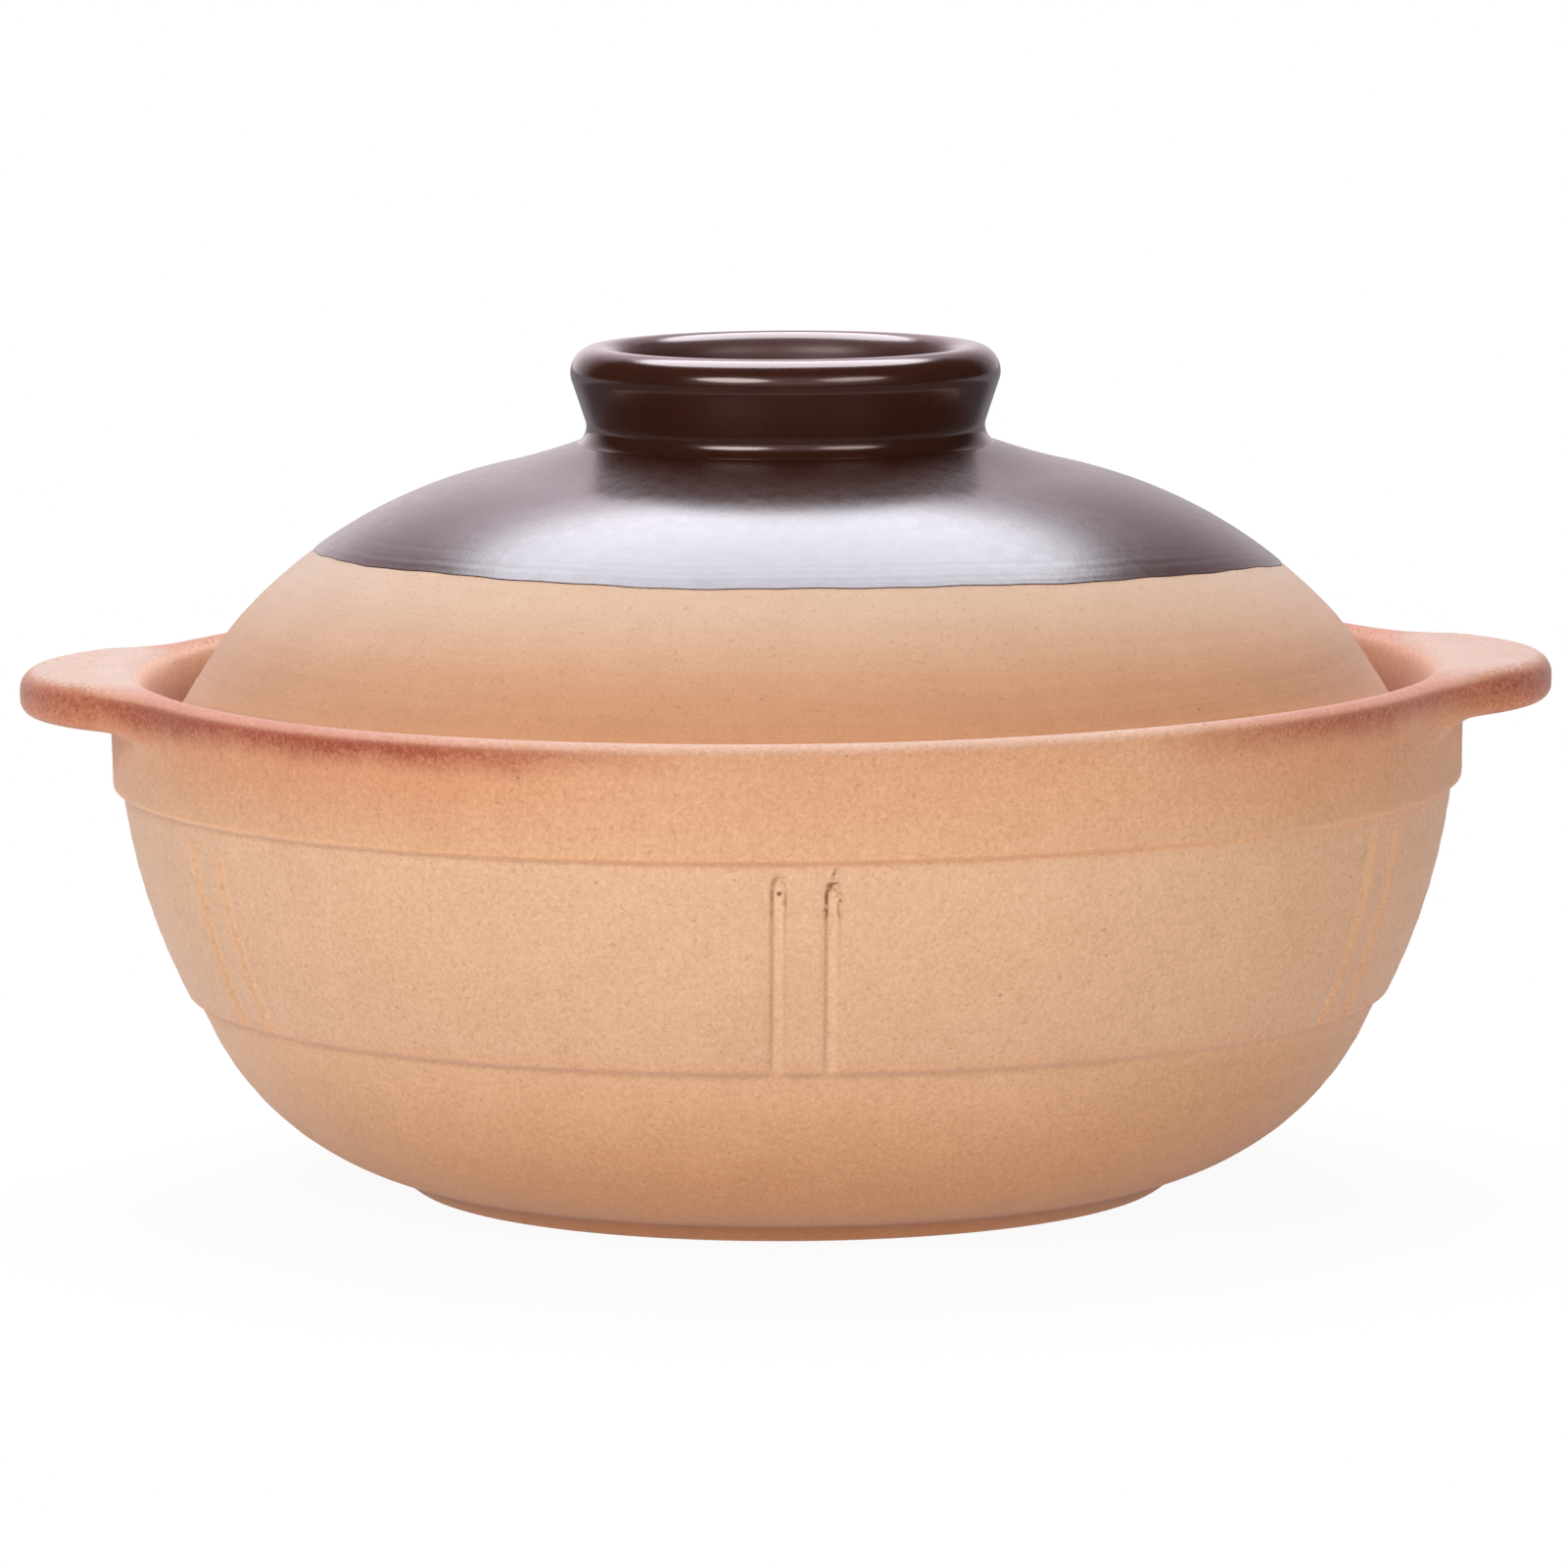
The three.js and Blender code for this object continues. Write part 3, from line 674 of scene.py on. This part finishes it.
# %% Network of a finish
class Finish:
    """The network of nodes of a new material, or of the world."""

    def __init__(self, name="", tree=None):
        if tree is None:
            self.material = bpy.data.materials.new(name)
            self.material.use_nodes = True
            tree = self.material.node_tree
        self.tree = tree
        self.tree.nodes.clear()

    def node(self, kind, settings=None, inputs=None, out=0):
        """A node of this kind, with its settings made first, then its sockets filled by values or wires."""
        made = self.tree.nodes.new(kind)
        for key, value in (settings or {}).items():
            if key == "stops":
                for spare in list(made.color_ramp.elements)[1:]:
                    made.color_ramp.elements.remove(spare)
                made.color_ramp.elements[0].position, made.color_ramp.elements[0].color = value[0]
                for place, colour in value[1:]:
                    made.color_ramp.elements.new(place).color = colour
            else:
                setattr(made, key, value)
        for key, value in (inputs or {}).items():
            if isinstance(value, Wire):
                self.tree.links.new(value.socket, made.inputs[key])
            else:
                made.inputs[key].default_value = value
        return Wire(self, made.outputs[out]) if len(made.outputs) else None

    def place(self):
        """The point on the piece, in mm."""
        metres = self.node("ShaderNodeTexCoord", out=3)
        return self.node("ShaderNodeVectorMath", {"operation": "SCALE"}, {0: metres, "Scale": 1 / MM})

    def parts(self, vector):
        """The three parts of a vector."""
        made = self.node("ShaderNodeSeparateXYZ", {}, {0: vector})
        return [Wire(self, socket) for socket in made.socket.node.outputs]

    def marked(self, name):
        """The number that the piece's points carry under this name."""
        return self.node("ShaderNodeAttribute", {"attribute_name": name}, out=2)

    def from_axis(self, x, y):
        """The distance that two steps at right angles lead to, such as from the pot's axis: sqrt(x * x + y * y)."""
        return self.node("ShaderNodeMath", {"operation": "SQRT"}, {0: x * x + y * y})

    def stretch(self, vector, x, y, z):
        """A vector with each part multiplied, so that a pattern on it is drawn out or squeezed."""
        return self.node("ShaderNodeVectorMath", {"operation": "MULTIPLY"}, {0: vector, 1: (x, y, z)})

    def noise(self, vector, size, detail=2.0, rough=0.5, seed=0.0):
        """Cloudy noise from 0 to 1 whose clouds are about this many mm across."""
        return self.node("ShaderNodeTexNoise", {"noise_dimensions": "4D"}, {
            "Vector": vector, "W": seed, "Scale": 1 / size, "Detail": detail, "Roughness": rough})

    def ease(self, value, low, high):
        """0 at low, 1 at high, and smooth between. Low may be the larger one, which turns the ease round."""
        return self.node("ShaderNodeMapRange", {"interpolation_type": "SMOOTHSTEP"}, {
            "Value": value, "From Min": low, "From Max": high})

    def mix(self, share, first, second, blend="MIX"):
        """The first colour where share is 0, the second where it is 1."""
        return self.node("ShaderNodeMix", {"data_type": "RGBA", "blend_type": blend}, {
            0: share, 6: first, 7: second}, out=2)

    def tint(self, colour, other):
        """Two colours multiplied part by part."""
        return self.mix(1.0, colour, other, "MULTIPLY")

    def colour(self, red, green, blue):
        """A colour from three values."""
        return self.node("ShaderNodeCombineXYZ", {}, {0: red, 1: green, 2: blue})

    def by_height(self, z, base, span, colours):
        """Colours up a wall, each given with its height in mm. Base and span are the heights that the ramp covers."""
        stops = [((height - base) / span, paint(*colour)) for height, colour in colours]
        return self.node("ShaderNodeValToRGB", {"stops": stops}, {0: (z - base) * (1 / span)})

    def bump(self, height, depth, below=None):
        """A surface normal tilted by a height from 0 to 1 that stands for this depth in mm."""
        inputs = {"Height": height, "Distance": depth * MM, "Strength": 1.0}
        if below is not None:
            inputs["Normal"] = below
        return self.node("ShaderNodeBump", {}, inputs)

    def surface(self, inputs):
        """A Principled surface with these sockets, as the material's output."""
        shader = self.node("ShaderNodeBsdfPrincipled", {}, inputs)
        self.node("ShaderNodeOutputMaterial", {}, {"Surface": shader})
        return self.material


def wear(piece, material):
    """Puts a finish on a piece."""
    piece.data.materials.append(material)
    print(piece.name, "wears", material.name, "of", len(material.node_tree.nodes), "nodes")


trial = Finish("trial")
dimmed = 1 - 0.5 * trial.noise(trial.place(), 10)
print("1 - 0.5 * noise makes", len(trial.tree.nodes), "nodes, the last to", dimmed.socket.node.operation.lower())
bpy.data.materials.remove(trial.material)

# %% [markdown]
# The clay is bare, and it fires to a warm tan that is sandy to the touch.
# The sand could be real bumps, but its grains are half a millimetre wide, so layers of noise stand for it.
# Dark grains come out redder and pale ones whiter, so the grain tints the colour as well as lighting it.

# %% Sandy grain
SAND_DEPTH = 0.12  # of the bump, in mm


def grain(finish, place, small, coarse):
    """Brightness of the sandy grain round 1, and the height that its bump stands on.

    Small and coarse are the shares of fine and coarse sand. Clouds and patches are wider, and pores are dark dots.
    """
    fine = finish.noise(place, 0.5, 4, 0.65, 1.0)
    sand = finish.noise(place, 1.0, 2, 0.6, 6.0)
    clouds = finish.noise(place, 16, 3, 0.55, 2.0)
    patches = finish.noise(place, 4.5, 2, 0.5, 5.0)
    pores = finish.ease(finish.noise(place, 0.9, 1, 0.5, 9.0), 0.62, 0.72)
    light = 0.86 + small * (fine - 0.5) + coarse * (sand - 0.5)
    return light + 0.16 * clouds + 0.10 * patches - 0.14 * pores, fine


def sandy(finish, colour, light):
    """A colour under the grain: its red, green and blue go with the light to the powers 0.75, 1 and 1.3."""
    return finish.tint(colour, finish.colour(light**0.75, light, light**1.3))


def bare_clay(finish, colour, normal):
    """Matt clay, with the sheen of grains that stand up and catch the light."""
    return finish.surface({
        "Base Color": colour, "Roughness": 0.85, "Specular IOR Level": 0.3,
        "Sheen Weight": 0.28, "Sheen Roughness": 0.4, "Sheen Tint": paint(0.95, 0.95, 1.0),
        "Normal": normal})


print("sand is", SAND_DEPTH, "mm deep")

# %% [markdown]
# Iron in the clay burns to small dark specks. The cells of a Voronoi pattern are a good place for them,
# with one speck at most in each, and a slower noise chooses which cells have one.
# A few pits on the front are larger, painted dark as painted shade, and are placed one by one.

# %% Specks and spots
SPECK_CELL = 4.0
SPECK_STRENGTH = 0.6


def specks(finish, place, share, seed):
    """1 in small ragged specks of iron, 0 between them. Share is how many of the cells have one."""
    cells = finish.node("ShaderNodeTexVoronoi", {"voronoi_dimensions": "4D"}, {
        "Vector": place, "W": seed, "Scale": 1 / SPECK_CELL, "Randomness": 1.0})
    ragged = cells + 0.12 * finish.noise(place, 0.5, 2, 0.6, seed + 1) - 0.06
    chosen = finish.noise(place, 2.2 * SPECK_CELL, 0, 0.5, seed + 3)
    return finish.ease(ragged, 0.11, 0.05) * finish.ease(chosen, 1 - share, 1.03 - share)


def spot(finish, x, z, at_x, at_z, size):
    """1 in a round spot on the front, given by its place across and up in mm, 0 off it."""
    off = finish.from_axis(x - at_x, z - at_z)
    return finish.ease(off, size, 0.5 * size)


print("specks lie about", SPECK_CELL, "mm apart")

# %% [markdown]
# On the bowl, the colour first follows the height: orange low down, paler on the band, warmer on the collar.
# The thin darker, warmer lines above the foot and along both edges of the band are painted shade in the crease and
# under the steps.
# The bowl was turned, so one ramp of colours serves all round, with warmer clay to the right, and painted shade low on
# the right, the side away from the stronger lamp.
# The step inside the rim has colours of its own: painted shade, dark at its foot by the lid, and painted light, pale at
# its top and palest on the left.

# %% Bowl colour by height
# Painted shade: the dark band on the foot ring from 1.8 to 5 mm, and the darker, warmer lines at 36.4 mm and from 75.5
# to 76.2 mm, under the band's steps. Painted light: the paler foot edge at 0 mm and the paler stop at 35.5 mm, just
# under the lower step.
BOWL_COLOURS = [
    (0.0, (0.64, 0.290, 0.115)), (1.8, (0.57, 0.245, 0.098)), (3.4, (0.42, 0.172, 0.068)),
    (5.0, (0.58, 0.260, 0.104)), (10.0, (0.635, 0.306, 0.136)),
    (33.0, (0.71, 0.405, 0.230)), (35.5, (0.725, 0.420, 0.244)), (36.4, (0.70, 0.382, 0.220)),
    (37.8, (0.71, 0.395, 0.235)), (40.0, (0.70, 0.415, 0.253)), (60.0, (0.71, 0.424, 0.257)),
    (74.8, (0.71, 0.430, 0.268)), (75.5, (0.75, 0.397, 0.205)), (76.2, (0.75, 0.397, 0.205)),
    (76.8, (0.69, 0.392, 0.224)), (87.0, (0.68, 0.367, 0.203)),
]
BOWL_SPAN = 100
WHITE = paint(1, 1, 1)


def bowl_places(finish):
    """Where a point of the bowl is, and the patterns that its colours share.

    Wander is slow and scorch is as fine as sand. Flame is how much the fire reached each side.
    """
    place = finish.place()
    x, y, z = finish.parts(place)
    r = finish.from_axis(x, y)
    return SimpleNamespace(
        place=place, x=x, y=y, z=z, r=r, level=finish.marked("level"), lug=finish.marked("lug"),
        outer=finish.ease(r, 120.5, 122.6),
        wander=finish.noise(finish.stretch(place, 1, 1, 0.6), 24, 3, 0.6, 7.0),
        scorch=finish.ease(finish.noise(place, 0.8, 3, 0.7, 15.0), 0.34, 0.66),
        flame=0.08 + finish.ease(x, -15, -75) + 0.75 * finish.ease(x, 55, 100))


def plain_clay(finish, at):
    """Colour by height, warmer to the right with painted shade low on the right, and the step inside the rim with its
    painted light and shade.
    """
    warm_and_shaded = finish.mix(finish.ease(at.x, 55, 120), WHITE, paint(0.98, 0.91, 0.85))
    # Painted shade: darker and warmer low on the right, the side away from the stronger lamp.
    shaded_low_right = finish.ease(at.x, 30, 100) * finish.ease(at.z, 38, 32)
    warm_and_shaded = finish.mix(shaded_low_right, warm_and_shaded, paint(0.92, 0.85, 0.78))
    walls = finish.tint(finish.by_height(at.z, 0, BOWL_SPAN, BOWL_COLOURS), warm_and_shaded)
    # Painted light and shade on the step inside the rim: pale at its top, palest on the left, and dark at its foot by
    # the lid.
    lit_step_top = finish.mix(finish.ease(at.x, -60, 60), paint(0.96, 0.63, 0.46), paint(0.80, 0.46, 0.33))
    step = finish.mix(finish.ease(at.z, 86, 97), paint(0.55, 0.27, 0.16), lit_step_top)
    return finish.mix((1 - at.outer) * finish.ease(at.z, 78, 80), walls, step)


print("bowl colours:", len(BOWL_COLOURS), "heights")

# %% [markdown]
# The flame flushed the clay where it stands out: orange up the collar, red under the rim, mostly to the sides.
# The rim's crest and the tops of the lugs are pale pink, partly their own colour and partly painted light where they
# face the large box above and behind, and the lugs' sides are orange, licked with burnt red.
# Each flush is one more colour mixed over the last, with a ragged edge, because fire leaves no clean lines.

# %% Flush of the flame
def flushed(finish, at, colour):
    """Orange up the collar, then red under the rim. Both edges wander by 3.5 mm up and down."""
    ragged = at.level + 7 * at.wander - 3.5
    under_lug = finish.ease(at.x * at.x, 104**2, 118**2) * finish.ease(at.level, 90, 87)
    warm = finish.ease(ragged, 74, 92) * at.outer * at.flame * (1 - 0.6 * under_lug)
    colour = finish.mix(warm * (0.56 + 0.25 * at.scorch), colour, paint(0.66, 0.275, 0.14))
    red = finish.ease(ragged, 88.8, 95) * finish.ease(at.level, 96.4, 95.4) * at.outer * at.flame
    return finish.mix(red * (0.65 + 0.5 * at.scorch), colour, paint(0.36, 0.076, 0.038))


def rim_and_lugs(finish, at, colour):
    """Pink on the crest of the rim, paler on the lugs, both partly painted light, and burnt red over orange on the
    lugs' sides.
    """
    to_right = finish.ease(at.x, -20, 20)
    edge_drop = 1.1 * at.lug * finish.ease(at.r, 124, 128)
    ragged = at.level - edge_drop + 0.9 * at.scorch - 0.45
    # The pale pink of the crest and the lug tops is partly painted light, where these tops face the large box above and
    # behind.
    crest = finish.ease(ragged, 94.9, 97.0) * finish.ease(at.r, 119.5, 120.5)
    crest_pink_lit = finish.mix(at.flame * 0.7, paint(0.67, 0.44, 0.338), paint(0.62, 0.33, 0.26))
    crest_pink_lit = finish.mix(finish.ease(at.x * at.x, 48**2, 97**2) * 0.80, crest_pink_lit, paint(0.56, 0.217, 0.162))
    lit_lug_top = finish.mix(to_right, paint(0.63, 0.468, 0.400), paint(0.625, 0.446, 0.382))
    colour = finish.mix(crest * (0.75 + 0.2 * at.scorch), colour, finish.mix(at.lug, crest_pink_lit, lit_lug_top))
    side = at.lug * finish.ease(at.r, 125, 129) * (1 - crest)
    licked = 0.55 * at.scorch + 0.4 * finish.ease(at.level + 2 * at.wander, 91.5, 96) - 0.05
    licked = licked * (0.4 + 0.6 * finish.ease(at.r, 127, 133))
    orange = finish.mix(to_right, paint(0.64, 0.244, 0.124), paint(0.625, 0.222, 0.106))
    burnt = finish.mix(to_right, paint(0.34, 0.080, 0.040), paint(0.258, 0.042, 0.021))
    return finish.mix(side * 0.9, colour, finish.mix(licked, orange, burnt))


print("layers of the flame:", flushed.__name__, "and", rim_and_lugs.__name__)

# %% [markdown]
# The tool left its traces on the band: paler floors in the grooves and rust at the upper ends. The left walls are
# darker as painted shade.
# At the top of the front pair there are a dark dot on the left and a pit on the right, so they are placed one by one.
# The pits are painted dark as painted shade.
# The step over the band is painted paler to the sides, as painted light where its edge catches the light.

# %% Traces of the tool, and painted light and shade on the band
def tool_traces_and_painted_light(finish, at, colour):
    """The step painted paler to the sides as painted light, the grooves' floors and walls with painted shade on the
    left walls, and the dot and pits, the pits dark as painted shade. A wall is where 4 g (1 - g) is near 1.
    """
    # Painted light: a paler line on the step over the band, towards the sides, where its edge catches the light.
    step = finish.ease(at.z, 75.2, 75.5) * finish.ease(at.z, 76.4, 76.1)
    painted_light_on_step = step * finish.ease(at.x * at.x, 40**2, 95**2)
    colour = finish.mix(painted_light_on_step * 0.12, colour, paint(0.90, 0.72, 0.62))
    groove = finish.marked("groove")
    colour = finish.mix(groove * 0.42, colour, paint(0.84, 0.57, 0.36))
    front = finish.ease(at.y, -110, -116)
    walls = 4 * groove * (1 - groove) * finish.ease(at.z, 37.5, 40)
    flecks = finish.ease(finish.noise(at.place, 1.6, 2, 0.6, 13.0), 0.36, 0.56)
    rust = front * finish.ease(at.z, 64.5, 67.5) * flecks
    # Painted shade darkens the left wall of each groove, the side away from the stronger lamp; the rust is a stain of
    # the clay.
    wall_shade_and_rust = finish.marked("left_wall") * (0.10 + 0.10 * front) + (0.78 + 0.06 * at.x) * rust
    colour = finish.mix(walls * wall_shade_and_rust, colour, paint(0.33, 0.105, 0.046))
    dot = spot(finish, at.x, at.z, -4.8, 70.1, 0.55)
    # The pits have no depth in the mesh, so their dark colour is painted shade.
    pit_shade = spot(finish, at.x + 1.2 * at.scorch - 0.6, at.z, 4.9, 74.2, 0.9)
    pit_shade = pit_shade + 0.5 * spot(finish, at.x, at.z, 4.8, 72.9, 1.2)
    return finish.mix(front * (0.85 * dot + 0.9 * pit_shade * at.scorch), colour, paint(0.16, 0.045, 0.022))


def bowl_clay():
    """Colour by height with its painted shade, then the flame's flush with painted light on the crest and lug tops, the
    tool's traces with their painted light and shade, and the grain and specks over all.
    """
    finish = Finish("bare_clay_bowl")
    at = bowl_places(finish)
    colour = plain_clay(finish, at)
    for layer in (flushed, rim_and_lugs, tool_traces_and_painted_light):
        colour = layer(finish, at, colour)
    light, fine = grain(finish, at.place, small=0.60, coarse=0.46)
    colour = sandy(finish, colour, light)
    iron = specks(finish, at.place, share=0.45, seed=11.0)
    colour = finish.mix(iron * SPECK_STRENGTH, colour, paint(0.22, 0.10, 0.055))
    return bare_clay(finish, colour, finish.bump(fine, SAND_DEPTH))


wear(clay_bowl, bowl_clay())

# %% [markdown]
# The lid is of the same clay, but it was scraped while it turned, so its sand is finer and has level lines in it.
# Lines like these are noise that is drawn out sideways. They show in the colour and in the bump.
# Just under the glaze the clay is painted paler: painted light on the upper lid, which faces the large box above and
# behind.

# %% Clay of the lid
# The top stop, paler just under the glaze, is painted light on the upper lid.
LID_COLOURS = [
    (84, (0.607, 0.306, 0.152)), (94, (0.612, 0.315, 0.164)),
    (104, (0.595, 0.316, 0.176)), (116, (0.615, 0.405, 0.280)),
]
LID_SPAN = 40
LINE_DEPTH = 0.06


def lid_clay():
    """Colour by height, paler high up as painted light, cooler to the left as painted sheen, with the scraper's lines
    in the grain, most of all low at the right.
    """
    finish = Finish("bare_clay_lid")
    place = finish.place()
    x, _, z = finish.parts(place)
    light, fine = grain(finish, place, small=0.42, coarse=0.06)
    lines = finish.noise(finish.stretch(place, 0.02, 0.02, 1), 0.8, 2, 0.5, 4.0)
    scraped = 0.10 + 0.14 * finish.ease(x, 50, 95) * finish.ease(z, 104, 95)
    light = light + scraped * (lines - 0.5)
    # Painted sheen: a cooler, bluer cast towards the left edge.
    painted_sheen_left = finish.mix(finish.ease(x, -40, -100), WHITE, paint(0.955, 0.993, 1.06))
    colour = finish.tint(finish.by_height(z, LID_COLOURS[0][0], LID_SPAN, LID_COLOURS), painted_sheen_left)
    colour = sandy(finish, colour, light)
    iron = specks(finish, place, share=0.42, seed=21.0)
    colour = finish.mix(iron * SPECK_STRENGTH, colour, paint(0.16, 0.075, 0.045))
    return bare_clay(finish, colour, finish.bump(fine, SAND_DEPTH, finish.bump(lines, LINE_DEPTH)))


wear(clay_lid, lid_clay())

# %% [markdown]
# The glaze is a dark chocolate brown glass. On the dome it came out satin, with a fine skin that blurs reflections.
# On the knob, which was wiped and ran thinner, it is glossier and deeper brown, and in the knob's hollow it is dull,
# with a paler purple brown painted there as painted sheen.

# %% Brown glaze
GLAZE_IOR = 1.9  # a dense glass, which reflects strongly


def brown_glaze(name, dark, light, tint, roughness, skin):
    """Brown glass between two colours, with a skin of this depth in mm. It is dull inside the ring of the knob, and
    painted a paler purple brown there as painted sheen.
    """
    finish = Finish(name)
    place = finish.place()
    x, y, z = finish.parts(place)
    clouds = finish.noise(place, 9, 3, 0.55, 1.0)
    fine = finish.noise(place, 1.0, 1, 0.4, 2.0)
    in_ring = finish.ease(finish.from_axis(x, y), 34.0, 31.5)
    hollow = in_ring * finish.ease(z, 136, 138) * finish.ease(z, 155.4, 153.6)
    soft = (roughness + 0.25 * hollow) * (0.8 + 0.4 * finish.noise(place, 3, 2, 0.5, 3.0))
    # Painted sheen: inside the ring of the knob the glaze is painted a paler, purplish brown.
    colour = finish.mix(0.8 * hollow, finish.mix(clouds, dark, light), paint(0.070, 0.0255, 0.0235))
    return finish.surface({
        "Base Color": colour, "Roughness": soft, "IOR": GLAZE_IOR, "Specular Tint": tint,
        "Normal": finish.bump(fine, skin)})


dome_glaze = brown_glaze(
    "brown_glaze_dome", dark=paint(0.032, 0.0078, 0.0036), light=paint(0.048, 0.0122, 0.0064),
    tint=paint(0.97, 0.95, 1.0), roughness=0.275, skin=0.013)
knob_glaze = brown_glaze(
    "brown_glaze_knob", dark=paint(0.029, 0.0079, 0.0036), light=paint(0.048, 0.0135, 0.0064),
    tint=paint(1.0, 0.84, 0.82), roughness=0.17, skin=0.008)
wear(dipped_glaze, dome_glaze)
wear(ring_knob, knob_glaze)
wear(inside_glaze, knob_glaze)

# %% [markdown]
# Each piece rides on a body of the CAD model, so that it moves with it, and stands for the solids that it replaces.

# %% Pieces on their bodies
PIECES = [
    (clay_bowl, "pot", "clay", ["bowl", "left_handle", "right_handle"]),
    (inside_glaze, "pot", "brown_glaze", ["inner_glaze"]),
    (clay_lid, "lid", "clay", ["lid_dome"]),
    (ring_knob, "lid", "brown_glaze", ["lid_knob"]),
    (dipped_glaze, "lid", "brown_glaze", ["lid_glaze"]),
]
for piece, body, slot, nodes in PIECES:
    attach(piece, body)
    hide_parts(*nodes)
    print(piece.name, "rides on", body)

# %% [markdown]
# The pot stands on a plain white floor that fills the view. Lit by the lamps alone, it would be grey towards the edges.
# So seen by the camera, or in a reflection, it is lifted towards white, and it keeps the pot's soft shadow.
# In reflections the white is a table's: it ends a hand's width from the pot and is dim beyond.

# %% Floor
FLOOR_HALF = 15.0  # metres
FLOOR_WHITE = paint(0.85, 0.85, 0.85)
SHOWN_NEAR, SHOWN_FAR = 0.935, 1.0  # share of plain white where the floor is seen, by the pot and away from it
UNSEEN = 0.35  # share of plain white in the light that the floor gives back


def floor_finish():
    """Matt white mixed with plain white light, by the shares above. Distances from the pot are in mm."""
    finish = Finish("white_floor")
    x, y, _ = finish.parts(finish.place())
    far = finish.from_axis(x, y)
    seen = finish.node("ShaderNodeLightPath", out=0)
    rays = seen.socket.node.outputs
    mirrored = Wire(finish, rays["Is Glossy Ray"]) + Wire(finish, rays["Is Transmission Ray"])
    shown = seen + mirrored
    lift = shown * (SHOWN_NEAR + (SHOWN_FAR - SHOWN_NEAR) * finish.ease(far, 90, 300)) + (1 - shown) * UNSEEN
    table = 1 - mirrored * finish.ease(far, 180, 380) * (0.86 - 0.28 * finish.ease(y, 350, 600))
    cast = finish.mix(mirrored, WHITE, paint(0.95, 0.90, 1.0))
    colour = finish.tint(cast, finish.colour(table, table, table))
    matt = finish.node("ShaderNodeBsdfDiffuse", {}, {"Color": FLOOR_WHITE})
    white = finish.node("ShaderNodeEmission", {}, {"Color": colour, "Strength": 1.0})
    mixed = finish.node("ShaderNodeMixShader", {}, {0: lift, 1: matt, 2: white})
    finish.node("ShaderNodeOutputMaterial", {}, {"Surface": mixed})
    return finish.material


floor_mesh = bpy.data.meshes.new("floor")
floor_corners = np.array([[-1, -1, 0], [1, -1, 0], [1, 1, 0], [-1, 1, 0]]) * FLOOR_HALF
floor_mesh.from_pydata(floor_corners, [], [(0, 1, 2, 3)])
floor = bpy.data.objects.new("floor", floor_mesh)
scene.collection.objects.link(floor)
wear(floor, floor_finish())

# %% [markdown]
# Soft boxes light the pot. A large oval one over the back lays the broad pale reflection on the dome.
# Two smaller ovals in front, left and right, make the two streaks on the knob's lip. The left one is stronger.
# A wide panel low in front and a weak one at the left fill the clay's shading. They show in no reflection.

# %% Studio lights
LIGHT_AIM = Vector((0, 0, 0.1))


def soft_box(name, turn, height, distance, size, radiance, colour=(1, 1, 1), oval=False, shines=True):
    """A light that faces the pot. Turn runs in degrees from the front to the right, and height up from the floor.

    Its power is radiance * pi * area, so it looks as bright as its radiance says, whatever its size.
    """
    data = bpy.data.lights.new(name, "AREA")
    data.shape = "ELLIPSE" if oval else "RECTANGLE"
    data.size, data.size_y = size
    data.energy = radiance * math.pi * size[0] * size[1] * (math.pi / 4 if oval else 1)
    data.color = colour
    turn, height = math.radians(turn), math.radians(height)
    out = Vector((math.sin(turn) * math.cos(height), -math.cos(turn) * math.cos(height), math.sin(height)))
    lamp = bpy.data.objects.new(name, data)
    lamp.location = LIGHT_AIM + out * distance
    lamp.rotation_euler = out.to_track_quat("Z", "Y").to_euler()
    lamp.visible_glossy = shines
    scene.collection.objects.link(lamp)
    print(name, "at", [round(x, 2) for x in lamp.location], "of", round(data.energy, 1), "watts")


soft_box("back_box", 181, 63.5, 1.6, (1.70, 1.40), 6.43, (0.905, 0.935, 1.0), oval=True)
soft_box("left_box", -32, 31, 1.6, (1.05, 0.46), 6.0, oval=True)
soft_box("right_box", 37, 31, 1.6, (0.95, 0.42), 3.2, (1, 0.96, 0.92), oval=True)
soft_box("front_panel", -3, 18, 1.8, (1.8, 1.0), 2.1, shines=False)
soft_box("left_panel", -85, 25, 1.6, (1.2, 1.0), 0.75, shines=False)

# %% [markdown]
# The room round the pot is dim, apart from the white backdrop behind it, which shows at the edges of the glaze.
# The backdrop is brighter below the large box, and there is a weak glow in front, between the two small ones.
# So the world is plain white to the camera, dim to the clay, and has this pattern in reflections.

# %% Room
ROOM_LIGHT = 0.10  # on the clay
ROOM_DIM = 0.03  # the room in reflections

scene.world = bpy.data.worlds.new("studio")
scene.world.use_nodes = True
room = Finish(tree=scene.world.node_tree)
aim_x, aim_y, aim_z = room.parts(room.node("ShaderNodeTexCoord", out=0))
rays = room.node("ShaderNodeLightPath").socket.node.outputs
seen, mirrored = Wire(room, rays["Is Camera Ray"]), Wire(room, rays["Is Glossy Ray"])
backdrop = room.ease(aim_y, 0.62, 0.92) * (0.90 - 0.30 * room.ease(aim_x, -0.15, 0.25))
near_box = 1.0 + 1.4 * room.ease(aim_z, 0.42, 0.60) + 0.5 * room.ease(aim_y, 0.85, 0.97)
front_glow = room.ease(aim_y, -0.35, -0.85) * room.ease(aim_z, 0.1, 0.3) * room.ease(aim_z, 0.8, 0.6)
reflected = ROOM_DIM + backdrop * near_box + 0.5 * front_glow
strength = ROOM_LIGHT * (1 - seen - mirrored) + seen + mirrored * reflected
reflected_cast = room.mix(room.ease(aim_z, 0.15, 0.45), paint(1, 0.90, 0.96), paint(1, 0.82, 0.94))
cast = room.mix(mirrored, WHITE, reflected_cast)
sky = room.node("ShaderNodeBackground", {}, {"Color": cast, "Strength": strength})
room.node("ShaderNodeOutputWorld", {}, {"Surface": sky})
print("room:", len(room.tree.nodes), "nodes")
